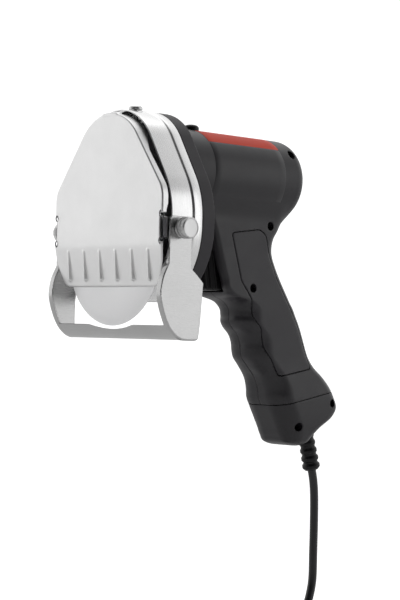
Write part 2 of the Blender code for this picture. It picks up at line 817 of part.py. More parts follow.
def case_screw_places():
    """Centres of the four screws that clamp cover, drum and gear case."""
    return [(case_screw_low_x, 0, case_screw_low_z), (-case_screw_low_x, 0, case_screw_low_z),
            (case_screw_high_x, 0, case_screw_high_z), (-case_screw_high_x, 0, case_screw_high_z)]


def make_gear_case():
    """The black ring behind the drum, open to the front, with its bosses and bearing seats."""
    profile = [(case_floor_y, -case_wall), (case_front_y, -case_wall), (case_front_y, drum_band_rise),
               (case_back_y - case_chamfer, drum_band_rise), (case_back_y, drum_band_rise - case_chamfer)]
    case = add_part("gear_case", swept_shell(profile, head_outline), black_plastic)
    motor_boss_back = case_floor_y + bearing_width + seat_gap
    join(case, rod_mesh(bearing_outer_radius + motor_bearing_wall, case_back_y - case_chamfer, motor_boss_back, "Y",
                        (0, 0, motor_z)))
    spindle_boss_back = case_floor_y + rear_bearing_width + bearing_wall
    join(case, rod_mesh(rear_bearing_radius + bearing_wall, case_back_y - case_chamfer, spindle_boss_back, "Y"))
    for place in case_screw_places():
        join(case, rod_mesh(case_boss_radius, case_front_y + weld_inset, case_floor_y + weld_inset, "Y", place,
                            small_sides))
        cut(case, rod_mesh(case_screw_radius + seat_gap, case_front_y - overrun, case_floor_y - weld_inset, "Y",
                           place, small_sides))
    cut(case, rod_mesh(bearing_outer_radius + seat_gap, case_floor_y - overrun, case_floor_y + bearing_width - overrun / 5,
                       "Y", (0, 0, motor_z)))
    cut(case, rod_mesh(motor_shaft_radius * 2, case_floor_y - overrun, motor_boss_back + overrun, "Y",
                       (0, 0, motor_z), small_sides))
    cut(case, rod_mesh(rear_bearing_radius + seat_gap, case_floor_y - overrun,
                       case_floor_y + rear_bearing_width + seat_gap * 2, "Y"))
    cut(case, rod_mesh(idler_pin_radius + seat_gap, case_floor_y - overrun, case_floor_y + seat_gap * 6, "Y",
                       (0, 0, idler_z), small_sides))


def make_gear_cover():
    """Cover plate in the drum, with the long boss of the front bearing, and its screws."""
    back = drum_back_y - drum_wall - seat_gap
    front = back - cover_thickness

    def outline(grow):
        return head_outline(grow - cover_inset)

    cover = add_part("gear_cover", swept_shell([(back, 0), (front + plate_edge_soft, 0), (front, -plate_edge_soft)],
                                               outline), grey_plastic)
    boss_front = back - cover_boss_length
    join(cover, rod_mesh(bearing_outer_radius + bearing_wall, boss_front, front + weld_inset, "Y"))
    cut(cover, rod_mesh(bearing_outer_radius + seat_gap, boss_front - overrun, boss_front + bearing_width + seat_gap,
                        "Y"))
    cut(cover, rod_mesh(spindle_radius + run_gap, boss_front - overrun, back + overrun, "Y", sides=small_sides))
    cut(cover, rod_mesh(idler_pin_radius + seat_gap, front - overrun, back + overrun, "Y", (0, 0, idler_z),
                        small_sides))
    for number, place in enumerate(case_screw_places(), 1):
        cut(cover, rod_mesh(case_screw_radius + seat_gap, front - overrun, back + overrun, "Y", place, small_sides))
        head_front = front - seat_gap - case_screw_head_height
        tip = case_floor_y - run_gap
        add_part("case_screw_" + str(number), turned_mesh(
            [(0, tip), (case_screw_radius, tip), (case_screw_radius, front - seat_gap),
             (case_screw_head_radius, front - seat_gap), (case_screw_head_radius, head_front + plate_edge_soft),
             (case_screw_head_radius - plate_edge_soft, head_front), (0, head_front)], "Y", place, small_sides),
            bright_steel)
    ring_bearing("front_bearing", bearing_outer_radius, spindle_radius + seat_gap,
                 boss_front + seat_gap / 2, boss_front + bearing_width, (0, 0, 0))
    ring_bearing("rear_bearing", rear_bearing_radius, spindle_radius + seat_gap,
                 case_floor_y, case_floor_y + rear_bearing_width, (0, 0, 0))


def ring_bearing(name, outer, bore, start, end, centre):
    """A sealed ball bearing, drawn as one ring."""
    profile = [(bore, end), (outer, end), (outer, start), (bore, start)]
    return add_part(name, turned_mesh(profile, "Y", centre, inner_sides, True), bright_steel)


def lower_bend(mesh, bend_deg):
    """Bend what lies below the plate's crease to the rear."""
    cage = bmesh.new()
    cage.from_mesh(mesh)
    whole = cage.verts[:] + cage.edges[:] + cage.faces[:]
    bmesh.ops.bisect_plane(cage, geom=whole, plane_co=(0, 0, plate_crease_z), plane_no=(0, 0, 1),
                           dist=weld_inset / 50)
    slope = math.tan(math.radians(bend_deg))
    for point in cage.verts:
        if point.co.z < plate_crease_z:
            point.co.y += (plate_crease_z - point.co.z) * slope
    cage.to_mesh(mesh)
    cage.free()
    return mesh


def rib_mesh(x):
    """One embossed rib: it stays nearly upright while the plate bends away behind it."""
    half_length = rib_length / 2
    middle_z = rib_top_z - half_length
    profile = [(0, half_length)]
    for i in range(1, 4):
        angle = math.radians(90 - 90 * i / 3)
        profile.append((rib_radius * math.cos(angle), half_length - rib_radius + rib_radius * math.sin(angle)))
    for i in range(1, 4):
        angle = math.radians(90 * i / 3)
        profile.append((rib_radius * math.cos(angle), rib_radius - half_length - rib_radius * math.sin(angle)))
    profile[-1] = (0, -half_length)
    mesh = turned_mesh(profile, "Z", (x, rib_radius * 0.72, middle_z), 8)
    return lower_bend(mesh, rib_bend_deg)


def make_slice_plate():
    """Front plate: bent ribbed lower part, rearward rim, pivot ears, slotted tongue."""
    sheet = flat_mesh(plate_outline(), 0, sheet_thickness, "Y")
    plate = add_part("slice_plate", lower_bend(sheet, plate_bend_deg), satin_steel, (0, pivot_y, pivot_z))

    # The embossed ribs, kept to the front of the sheet's back face
    first_rib_x = -rib_pitch * (rib_count - 1) / 2
    back_guard = box_mesh((-2 * plate_half_width, sheet_thickness / 2, plate_crease_z - 2 * plate_drop),
                          (2 * plate_half_width, sheet_thickness / 2 + plate_half_width, plate_crease_z + plate_drop))
    lower_bend(back_guard, plate_bend_deg)
    for i in range(rib_count):
        rib = join(plate, rib_mesh(first_rib_x + i * rib_pitch))
        cut(rib, back_guard)

    # Rim above the notches, open below them
    inner = plate_half_width - notch_depth
    rim = join(plate, swept_shell(
        [(sheet_thickness / 2, -sheet_thickness), (plate_flange_depth, -sheet_thickness),
         (plate_flange_depth, -weld_inset), (sheet_thickness / 2 + weld_inset, -weld_inset)], plate_outline))
    cut(rim, box_mesh((-2 * plate_half_width, -overrun, -2 * plate_drop),
                      (2 * plate_half_width, plate_flange_depth + overrun, notch_high_z)))

    # Notches, then the ears that carry the plate on the pivot studs
    for side in (-1, 1):
        edge = side * inner
        outer = side * (plate_half_width + overrun)
        cut(plate, box_mesh((min(edge, outer), -overrun, notch_low_z),
                            (max(edge, outer), overrun, notch_high_z)))
        ear_outer = inner - seat_gap
        ear_inner = ear_outer - sheet_thickness
        ear = [(sheet_thickness / 2, pivot_z - ear_root_half_height)]
        ear += arc((pivot_y, pivot_z), ear_half_height, -90, 90, outline_steps)
        ear += [(sheet_thickness / 2, pivot_z + ear_root_half_height)]
        join(plate, flat_mesh(ear, side * ear_inner, side * ear_outer, "X"))
    cut(plate, rod_mesh(stud_radius + seat_gap, -2 * plate_half_width, 2 * plate_half_width, "X",
                        (0, pivot_y, pivot_z), small_sides))

    # Tongue that runs back under the drum's roof, with the clamp's slot
    tongue_top = motor_z + plate_top_radius - weld_inset
    tongue_back_y = clamp_y + clamp_shank_radius + run_gap + tongue_end_wall
    tongue = [(-tongue_half_width, sheet_thickness / 2), (tongue_half_width, sheet_thickness / 2),
              (tongue_half_width, tongue_back_y - tongue_half_width)]
    tongue += arc((0, tongue_back_y - tongue_half_width), tongue_half_width, 20, 160, outline_steps)
    tongue += [(-tongue_half_width, tongue_back_y - tongue_half_width)]
    travel = math.radians(tilt_limit_deg) * (tongue_top - pivot_z)
    slot_back = clamp_y + clamp_shank_radius + run_gap
    slot_front = clamp_y - clamp_shank_radius - run_gap - travel
    radius = tongue_slot_half_width
    slot = arc((0, slot_back - radius), radius, 0, 180, outline_steps)
    slot += arc((0, slot_front + radius), radius, 180, 360, outline_steps)
    join(plate, flat_mesh(tongue, tongue_top - sheet_thickness, tongue_top, "Z", [slot]))


def plate_spring_points(side):
    """Tension spring along the notch: hook, curls and hook as one wire."""
    length = plate_spring_turns * plate_spring_pitch
    x = side * (plate_half_width - notch_depth + plate_spring_radius + plate_spring_wire / 2 + plate_spring_out)
    middle_z = (notch_low_z + notch_high_z) / 2
    curls = helix(plate_spring_radius, plate_spring_turns, middle_z - length / 2, plate_spring_pitch)
    curls = [(x + px, plate_spring_y + py, pz) for px, py, pz in curls]
    front_y = -plate_spring_wire / 2 - seat_gap - weld_inset
    hook_x = side * (plate_half_width - notch_depth + plate_spring_wire / 2 + seat_gap)
    ends = []
    for way in (-1, 1):
        near_z = middle_z + way * (length / 2 + plate_spring_wire)
        turn_z = middle_z + way * ((notch_high_z - notch_low_z) / 2 - plate_spring_wire)
        ends.append([(hook_x, plate_spring_y, near_z), (hook_x, sheet_thickness, turn_z),
                     (hook_x, front_y, turn_z), (hook_x, front_y, turn_z + way * hook_reach / 2),
                     (hook_x - side * hook_reach / 2, front_y, turn_z + way * hook_reach)])
    return list(reversed(ends[0])) + curls[1:-1] + ends[1]


def make_plate_springs():
    for name, side in (("plate_spring_right", 1), ("plate_spring_left", -1)):
        points = plate_spring_points(side)
        print(name, "least gap to itself in mm", round(least_gap(points, plate_spring_wire) / MM, 2))
        tube_part(name, points, plate_spring_wire, spring_steel)


def make_knobs():
    """Thumb knobs, each turned in one piece with its collar and its pivot stud."""
    seat_x = guard_outer_x + seat_gap
    collar_x = seat_x + washer_thickness
    stud_end_x = plate_half_width - notch_depth - sheet_thickness - run_gap * 2
    cap_x = knob_end_x - knob_cap_length
    body_end_x = cap_x - knob_groove_width
    body_x = body_end_x - knob_body_length
    profile = [(0, knob_end_x), (knob_radius - knob_edge_soft, knob_end_x), (knob_radius, knob_end_x - knob_edge_soft),
               (knob_radius, cap_x), (knob_groove_radius, cap_x), (knob_groove_radius, body_end_x),
               (knob_radius, body_end_x), (knob_radius, body_x), (knob_neck_radius, body_x - knob_groove_width),
               (knob_neck_radius, collar_x), (washer_radius, collar_x), (washer_radius, seat_x),
               (stud_radius, seat_x), (stud_radius, stud_end_x), (0, stud_end_x)]
    pivot = (0, pivot_y, pivot_z)
    for name, side in (("right", 1), ("left", -1)):
        knob = turned_mesh(profile, "X", pivot)
        if side < 0:
            knob.transform(Matrix.Translation((0, 2 * pivot_y, 0)) @ Matrix.Rotation(math.pi, 4, "Z"))
        add_part("thumb_knob_" + name, knob, bright_steel, pivot)


def make_clamp():
    """Screw on the drum's roof that clamps the tongue, and its nut."""
    roof_z = motor_z + head_top_radius
    head_z = roof_z + drum_band_rise + seat_gap
    top_z = head_z + clamp_head_height
    nut_top = motor_z + plate_top_radius - sheet_thickness - clamp_nut_drop
    nut_bottom = nut_top - clamp_nut_height
    centre = (0, clamp_y, 0)
    screw = add_part("clamp_screw", turned_mesh(
        [(0, top_z), (clamp_head_radius - clamp_head_soft, top_z), (clamp_head_radius, top_z - clamp_head_soft),
         (clamp_head_radius, head_z), (clamp_shank_radius, head_z), (clamp_shank_radius, nut_bottom - run_gap),
         (0, nut_bottom - run_gap)], "Z", centre), bright_steel, centre)
    cut(screw, box_mesh((-clamp_head_radius - overrun, clamp_y - clamp_slot_width / 2, top_z - clamp_slot_depth),
                        (clamp_head_radius + overrun, clamp_y + clamp_slot_width / 2, top_z + overrun)))
    bore = clamp_shank_radius + seat_gap
    add_part("clamp_nut", turned_mesh([(bore, nut_top), (clamp_nut_radius, nut_top), (clamp_nut_radius, nut_bottom),
                                       (bore, nut_bottom)], "Z", centre, sides=6, closed=True), bright_steel)


def guard_points(table):
    """Guard outline points from shares of its reach and its bottom level."""
    return [(y * guard_reach, -z * guard_bottom_z) for y, z in table]


def make_guard():
    """Swinging guard: two straps, a paddle on the right one and a curved bar between them."""
    pivot = (0, pivot_y, pivot_z)
    strap = arc((pivot_y, pivot_z), guard_strap_half_width, 0, 180, outline_steps + 2)
    front = guard_points(guard_front_shares)
    right = strap + front + guard_points(guard_paddle_shares)
    left = strap + front + guard_points(guard_plain_shares)
    guard = add_part("guard_bracket", flat_mesh(right, guard_inner_x, guard_outer_x, "X"), satin_steel, pivot)
    join(guard, flat_mesh(left, -guard_outer_x, -guard_inner_x, "X"))
    outer = front[guard_bar_first_share:]
    inner = []
    for (y0, z0), (y1, z1) in zip(outer, outer[1:] + [(outer[-1][0] * 2 - outer[-2][0], outer[-1][1])]):
        along = Vector((y1 - y0, z1 - z0)).normalized()
        inner.append((y0 - along[1] * strap_thickness, z0 + along[0] * strap_thickness))
    shift = weld_inset
    bar_section = [(y, z + shift) for y, z in outer] + [(y, z + shift) for y, z in reversed(inner)]
    bar = join(guard, flat_mesh(bar_section, weld_inset - guard_outer_x, guard_outer_x - weld_inset, "X"))
    top_z = outer[0][1]
    radius = (guard_notch_half_width ** 2 + guard_notch_depth ** 2) / (2 * guard_notch_depth)
    cut(bar, rod_mesh(radius, -head_radius, head_radius, "Y", (0, 0, top_z - guard_notch_depth + radius), 96))
    hole = stud_radius + seat_gap
    cut(guard, rod_mesh(hole, -2 * head_radius, 2 * head_radius, "X", pivot, small_sides))


def make_body():
    """Pistol body: barrel and grip as two shells, side panels and the end cap."""
    outer = loft_mesh([grip_ring(row, 0) for row in grip_shares])
    inner = loft_mesh([grip_ring(row, grip_wall) for row in grip_cavity_shares])
    axis_centre = (0, 0, motor_z)
    for name, side in (("housing_right", 1), ("housing_left", -1)):
        housing = add_part(name, seam_box(side, True), black_plastic)
        form = keep(housing, outer.copy())
        join(form, turned_mesh(barrel_profile(0), "Y", axis_centre, barrel_sides))
        hollow = cut(housing, inner.copy())
        join(hollow, turned_mesh(barrel_profile(barrel_wall), "Y", axis_centre, barrel_sides))
        # The screw bosses are left standing in the hollow
        for y, z in body_screw_places():
            cut(hollow, rod_mesh(screw_boss_radius, -2 * barrel_radius, 2 * barrel_radius, "X", (0, y, z), small_sides))
        cut_trigger_window(housing)
        cut_lock_hole(housing)
        cut_vents(housing)
        cut_panel_recess(housing, side)
        for y, z in body_screw_places():
            cut_screw(housing, side, y, z)
        add_panel(side)
    cap = add_part("end_cap", seam_box(0, False), black_plastic)
    keep(cap, outer.copy())
    cut(cap, inner.copy())
    for y, z in cap_screw_places():
        cut_screw(cap, 1, y, z)
    relief_hole = rod_mesh(relief_groove_radius + seat_gap, -relief_length, relief_length, "Z", sides=small_sides)
    relief_hole.transform(relief_matrix())
    cut(cap, relief_hole)


def body_screw_places():
    high = (barrel_back_y - barrel_screw_inset, motor_z + barrel_radius * barrel_screw_up_share)
    return [grip_place(place) for place in body_screw_shares] + [high]


def cap_screw_places():
    return [grip_place(place) for place in cap_screw_shares]


def cut_screw(item, side, y, z):
    """Hole for the shank and, on the right, the well of the head."""
    far = 2 * barrel_radius
    cut(item, rod_mesh(screw_radius + seat_gap, screw_tip_x - run_gap, far, "X", (0, y, z), small_sides))
    if side > 0:
        cut(item, rod_mesh(screw_well_radius, screw_head_x - seat_gap, far, "X", (0, y, z), small_sides))


def cut_trigger_window(item):
    gap = run_gap
    cut(item, box_mesh((-trigger_half_width - gap, trigger_front_y - overrun, trigger_bottom_z - gap),
                       (trigger_half_width + gap, trigger_back_y + trigger_travel + gap, trigger_top_z + gap)))


def cut_lock_hole(item):
    cut(item, rod_mesh(lock_radius + seat_gap, motor_z + barrel_radius - 2 * barrel_wall,
                       motor_z + 2 * barrel_radius, "Z", (0, lock_y, 0), small_sides))


def cut_vents(item):
    """Air slots in the barrel's rear wall."""
    slot = barrel_wall
    for i in range(-2, 3):
        z = motor_z + i * slot * 2.6
        cut(item, box_mesh((slot * 1.5, barrel_back_y - 3 * barrel_wall, z - slot / 2),
                           (slot * 6, barrel_back_y + overrun, z + slot / 2)))
        cut(item, box_mesh((-slot * 6, barrel_back_y - 3 * barrel_wall, z - slot / 2),
                           (-slot * 1.5, barrel_back_y + overrun, z + slot / 2)))


def panel_outline():
    return [grip_place(place) for place in panel_shares]


def grown(outline, amount):
    """Move each point of a clockwise or anticlockwise outline outward."""
    area = sum(a[0] * b[1] - b[0] * a[1] for a, b in zip(outline, outline[1:] + outline[:1]))
    way = 1 if area > 0 else -1
    result = []
    for i, point in enumerate(outline):
        before, after = outline[i - 1], outline[(i + 1) % len(outline)]
        along = Vector((after[0] - before[0], after[1] - before[1])).normalized()
        result.append((point[0] + way * along[1] * amount, point[1] - way * along[0] * amount))
    return result


def cut_panel_recess(item, side):
    inner = side * (grip_half_width - panel_depth)
    outer = side * (grip_half_width + overrun)
    cut(item, flat_mesh(grown(panel_outline(), panel_gap), min(inner, outer), max(inner, outer), "X"))


def add_panel(side):
    inner = side * (grip_half_width - panel_depth + seat_gap)
    outer = side * (grip_half_width + panel_proud)
    name = "grip_panel_right" if side > 0 else "grip_panel_left"
    panel = add_part(name, flat_mesh(panel_outline(), min(inner, outer), max(inner, outer), "X"), black_rubber)
    if side > 0:
        y, z = body_screw_places()[0]
        cut(panel, rod_mesh(screw_well_radius, 0, 2 * grip_half_width, "X", (0, y, z), small_sides))
    return panel


def make_screws():
    """Body and end cap screws, driven in from the right."""
    for name, places in (("housing_screw_", body_screw_places()), ("cap_screw_", cap_screw_places())):
        for number, (y, z) in enumerate(places, 1):
            head = screw_head_x + screw_head_height
            add_part(name + str(number), turned_mesh(
                [(0, head), (screw_head_radius, head), (screw_head_radius, screw_head_x), (screw_radius, screw_head_x),
                 (screw_radius, screw_tip_x), (0, screw_tip_x)], "X", (0, y, z), small_sides), bright_steel)


def make_motor():
    """Motor: stator pack and field coils stay, the armature set turns."""
    centre = (0, 0, motor_z)
    sleeve = stator_bore_radius + armature_sleeve
    add_part("stator", turned_mesh([(sleeve + seat_gap, stator_end_y), (stator_radius, stator_end_y),
                                    (stator_radius, stator_start_y), (sleeve + seat_gap, stator_start_y)],
                                   "Y", centre, inner_sides, True), iron)
    rear = stator_end_y + seat_gap
    front = stator_start_y - seat_gap
    soft = coil_overhang / 3
    add_part("field_coils", turned_mesh(
        [(stator_bore_radius, rear + coil_overhang), (coil_outer_radius - soft, rear + coil_overhang),
         (coil_outer_radius, rear + coil_overhang - soft), (coil_outer_radius, rear), (sleeve, rear),
         (sleeve, front), (coil_outer_radius, front), (coil_outer_radius, front - coil_overhang + soft),
         (coil_outer_radius - soft, front - coil_overhang), (stator_bore_radius, front - coil_overhang)],
        "Y", centre, inner_sides, True), copper)

    shaft_back = rear_motor_bearing_y + bearing_width
    pinion_back = rear_gear_y + gear_width
    shaft = [(0, shaft_back), (motor_shaft_radius, shaft_back), (motor_shaft_radius, pinion_back - weld_inset),
             (0, pinion_back - weld_inset)]
    turning = add_part("motor_shaft", turned_mesh(shaft, "Y", centre, small_sides), bright_steel, centre)
    pinion = gear_outline(motor_teeth, (0, motor_z), tooth_toward(motor_teeth, 3))
    join(turning, flat_mesh(pinion, rear_gear_y, pinion_back, "Y"))
    join(turning, rod_mesh(lock_collar_radius, lock_y - lock_collar_width / 2, lock_y + lock_collar_width / 2, "Y",
                           centre, lock_collar_sides))
    bore = motor_shaft_radius + seat_gap

    outline = []
    step = 2 * math.pi / armature_slots
    slot_floor = armature_radius * (1 - armature_slot_depth_share)
    for i in range(armature_slots):
        for radius, share in ((slot_floor, -armature_slot_share / 2), (slot_floor, armature_slot_share / 2),
                              (armature_radius, armature_slot_share / 2), (armature_radius, 0.5),
                              (armature_radius, 1 - armature_slot_share / 2)):
            angle = (i + share) * step
            outline.append((radius * math.cos(angle), motor_z + radius * math.sin(angle)))
    hole = bore + armature_sleeve + seat_gap
    add_part("armature", flat_mesh(outline, stator_start_y, stator_end_y, "Y",
                                   [arc((0, motor_z), hole, 0, 337.5, 15)]), iron, centre)
    sleeve = bore + armature_sleeve
    wound = stator_start_y - coil_overhang, stator_end_y + coil_overhang
    bare = stator_start_y - seat_gap, stator_end_y + seat_gap
    add_part("armature_windings", turned_mesh(
        [(bore, wound[1]), (winding_radius - run_gap, wound[1]), (winding_radius, wound[1] - run_gap),
         (winding_radius, bare[1]), (sleeve, bare[1]), (sleeve, bare[0]), (winding_radius, bare[0]),
         (winding_radius, wound[0] + run_gap), (winding_radius - run_gap, wound[0]), (bore, wound[0])],
        "Y", centre, inner_sides, True), copper, centre)
    end = commutator_start_y + commutator_length
    add_part("commutator", turned_mesh([(bore, end), (commutator_radius, end), (commutator_radius, commutator_start_y),
                                        (bore, commutator_start_y)], "Y", centre, inner_sides, True), copper, centre)
    make_fan(centre, bore)
    ring_bearing("motor_bearing_front", bearing_outer_radius, bore, case_floor_y + seat_gap / 2,
                 case_floor_y + bearing_width - overrun / 5 - seat_gap / 2, centre)
    ring_bearing("motor_bearing_rear", bearing_outer_radius, bore, rear_motor_bearing_y - bearing_width / 2,
                 rear_motor_bearing_y + bearing_width / 2, centre)
    make_brushes()


def make_fan(centre, bore):
    """Cooling fan: a back plate with straight blades."""
    back = fan_y + fan_plate_thickness
    fan = add_part("fan", turned_mesh(
        [(bore, back), (fan_radius, back), (fan_radius, fan_y), (fan_hub_radius, fan_y),
         (fan_hub_radius, fan_y - fan_blade_depth), (bore, fan_y - fan_blade_depth)], "Y", centre, closed=True),
        grey_plastic, centre)
    for i in range(fan_blades):
        blade = box_mesh((fan_hub_radius - run_gap, fan_y - fan_blade_depth + run_gap, -fan_blade_thickness / 2),
                         (fan_radius - run_gap, fan_y + weld_inset, fan_blade_thickness / 2))
        blade.transform(Matrix.Translation(centre) @ Matrix.Rotation(2 * math.pi * (i + 0.5) / fan_blades, 4, "Y"))
        join(fan, blade)


def make_brushes():
    """Brush tubes on both sides of the commutator, and the bridge that seats the rear bearing."""
    middle_y = commutator_start_y + commutator_length / 2
    for name, side in (("carbon_brush_right", 1), ("carbon_brush_left", -1)):
        near = side * (commutator_radius + seat_gap)
        far = side * (barrel_radius - barrel_wall - run_gap - seat_gap)
        add_part(name, box_mesh((min(near, far), middle_y - brush_width / 2, motor_z - brush_width / 2),
                                (max(near, far), middle_y + brush_width / 2, motor_z + brush_width / 2)), iron)
    start = rear_motor_bearing_y - bearing_width / 2
    end = rear_motor_bearing_y + bearing_width / 2 + seat_gap
    outer = barrel_radius - barrel_wall - 2 * run_gap
    bridge = add_part("rear_bearing_bridge", turned_mesh(
        [(bearing_outer_radius + seat_gap, end), (rear_bearing_bridge_radius, end), (rear_bearing_bridge_radius, start),
         (bearing_outer_radius + seat_gap, start)], "Y", (0, 0, motor_z), closed=True), grey_plastic)
    arm = rear_bearing_bridge_radius - run_gap
    for low, high in ((-outer, -arm), (arm, outer)):
        join(bridge, box_mesh((low, start + run_gap, motor_z - brush_width), (high, end - run_gap, motor_z + brush_width)))


def trigger_ring(z, back_off, inset=0.0):
    """One level of the trigger: straight flanks and a round front with upright ribs."""
    base = trigger_half_width - inset - trigger_rib_rise
    middle_y = trigger_front_y + back_off + trigger_half_width
    ring = [(-base, trigger_back_y), (base, trigger_back_y)]
    half = trigger_rib_width_deg / 2
    for i in range(trigger_ribs):
        middle = 90 - trigger_rib_pitch_deg * (i - (trigger_ribs - 1) / 2)
        for turn, rise in ((half * 1.6, 0), (half * 0.7, trigger_rib_rise), (-half * 0.7, trigger_rib_rise),
                           (-half * 1.6, 0)):
            angle = math.radians(180 + middle + turn)
            ring.append(((base + rise) * math.cos(angle), middle_y + (base + rise) * math.sin(angle)))
    return [(x, y, z) for x, y in reversed(ring)]


def make_trigger():
    """Sliding trigger with upright finger ribs, its stem, spring and switch."""
    pivot = (0, trigger_front_y, 0)
    lean = trigger_lean
    levels = ((trigger_bottom_z, lean, lean / 6), (trigger_bottom_z + lean / 4, lean * 0.9, 0),
              (trigger_top_z - lean, 0, 0), (trigger_top_z - lean / 4, lean / 5, 0), (trigger_top_z, lean / 2, lean / 6))
    trigger = add_part("trigger", loft_mesh([trigger_ring(*level) for level in levels]), black_plastic, pivot)
    stem_end = trigger_back_y + stem_length
    join(trigger, rod_mesh(stem_radius, trigger_back_y - trigger_lean, stem_end, "Y", (0, 0, switch_mid_z), small_sides))

    switch_back = switch_front_y + switch_depth
    switch = add_part("switch_body", box_mesh(
        (-switch_half_width, switch_front_y, switch_mid_z - switch_height / 2),
        (switch_half_width, switch_back, switch_mid_z + switch_height / 2)), grey_plastic)
    cut(switch, rod_mesh(stem_radius + seat_gap, switch_front_y - overrun, stem_end + trigger_travel + run_gap, "Y",
                         (0, 0, switch_mid_z), small_sides))
    room = switch_front_y - trigger_back_y - 2 * seat_gap - spring_wire
    coil = helix(trigger_spring_radius, trigger_spring_turns, 0, room / trigger_spring_turns)
    turn = Matrix.Translation((0, trigger_back_y + seat_gap + spring_wire / 2, switch_mid_z)) @ axis_turn("Y")
    points = [turn @ Vector(point) for point in coil]
    print("trigger_spring least gap to itself in mm", round(least_gap(points, spring_wire) / MM, 2))
    tube_part("trigger_spring", points, spring_wire, spring_steel)


def make_lock():
    """Spindle lock: button, pin and spring in a guide sleeve."""
    roof = motor_z + barrel_radius
    top = roof + lock_rise
    pin_end = motor_z + lock_collar_radius + lock_pin_end_gap
    guide_top = roof - 2 * barrel_wall - lock_skirt
    guide_bottom = guide_top - lock_guide_height
    centre = (0, lock_y, 0)
    soft = knob_edge_soft * 2
    skirt_bottom = roof - barrel_wall - lock_skirt + lock_travel / 2
    add_part("lock_button", turned_mesh(
        [(0, top), (lock_radius - soft, top), (lock_radius, top - soft), (lock_radius, skirt_bottom),
         (lock_pin_radius, skirt_bottom), (lock_pin_radius, pin_end), (0, pin_end)], "Z", centre, small_sides + 8),
        black_plastic, centre)
    outer = lock_pin_radius + seat_gap + lock_guide_wall
    seat_top = guide_bottom + lock_guide_height / 3
    high_corner = seat_top - motor_z
    span = math.sqrt((barrel_radius - barrel_wall) ** 2 - high_corner ** 2) - run_gap
    guide = add_part("lock_guide", box_mesh((-span, lock_y - outer, guide_bottom), (span, lock_y + outer, seat_top)),
                     grey_plastic)
    cut(guide, rod_mesh(lock_pin_radius + seat_gap, guide_bottom - overrun, seat_top + overrun, "Z", centre,
                        small_sides))
    low = seat_top + seat_gap + spring_wire / 2
    high = skirt_bottom - seat_gap - spring_wire / 2
    coil = helix(lock_pin_radius + seat_gap + spring_wire, lock_spring_turns, low, (high - low) / lock_spring_turns)
    points = [(x, y + lock_y, z) for x, y, z in coil]
    print("lock_spring least gap to itself in mm", round(least_gap(points, spring_wire) / MM, 2))
    tube_part("lock_spring", points, spring_wire, spring_steel)


def block_at(name, place_share, depth, height, half_width, material):
    """A small block in the grip, centred at a place given in shares."""
    y, z = grip_place(place_share)
    return add_part(name, box_mesh((-half_width, y - depth / 2, z - height / 2),
                                   (half_width, y + depth / 2, z + height / 2)), material)


def make_grip_insides():
    block_at("suppressor", suppressor_share, suppressor_depth, suppressor_height, suppressor_half_width,
             film_yellow)
    block_at("terminal_block", terminal_share, terminal_depth, terminal_height, terminal_half_width, grey_plastic)
    block_at("cord_clamp", clamp_bar_share, clamp_bar_depth, clamp_bar_height, clamp_bar_half_width, grey_plastic)


def relief_matrix():
    """Places a shape drawn down local -Z where the strain relief leaves the end cap."""
    y, z = grip_place(relief_share)
    return Matrix.Translation((0, y, z)) @ Matrix.Rotation(math.radians(relief_tilt_deg), 4, "X")


def make_strain_relief():
    """Ribbed, slightly tapering sleeve with a collar inside the end cap."""
    step = relief_length / (2 * relief_rings)
    profile = [(0, step), (relief_groove_radius, step)]
    for ring in range(relief_rings):
        top = -ring * 2 * step
        radius = relief_ring_radius - relief_taper * (1 - ring / relief_rings)
        profile += [(relief_groove_radius, top - step / 2), (radius, top - step * 0.8),
                    (radius, top - step * 1.7), (relief_groove_radius, top - step * 2)]
    end = -relief_length
    profile += [(relief_groove_radius, end - step / 4), (0, end - step / 4)]
    mesh = turned_mesh(profile, "Z", sides=18)
    mesh.transform(relief_matrix())
    add_part("strain_relief", mesh, black_rubber)
    return relief_matrix() @ Vector((0, 0, end - step / 4))


def smooth_points(route, spacing):
    """Evenly spaced points on a smooth curve through the route's own points."""
    fine = []
    route = [Vector(point) for point in route]
    padded = [2 * route[0] - route[1]] + route + [2 * route[-1] - route[-2]]
    for i in range(1, len(padded) - 2):
        a, b, c, d = padded[i - 1:i + 3]
        for k in range(12):
            t = k / 12
            fine.append(0.5 * ((2 * b) + (c - a) * t + (2 * a - 5 * b + 4 * c - d) * t * t
                               + (3 * b - a - 3 * c + d) * t * t * t))
    fine.append(route[-1])
    lengths = [0.0]
    for first, second in zip(fine, fine[1:]):
        lengths.append(lengths[-1] + (second - first).length)
    count = round(lengths[-1] / spacing)
    points = []
    j = 0
    for i in range(count + 1):
        target = lengths[-1] * i / count
        while j < len(lengths) - 2 and lengths[j + 1] < target:
            j += 1
        share = (target - lengths[j]) / (lengths[j + 1] - lengths[j])
        points.append(fine[j].lerp(fine[j + 1], share))
    return points, lengths[-1]


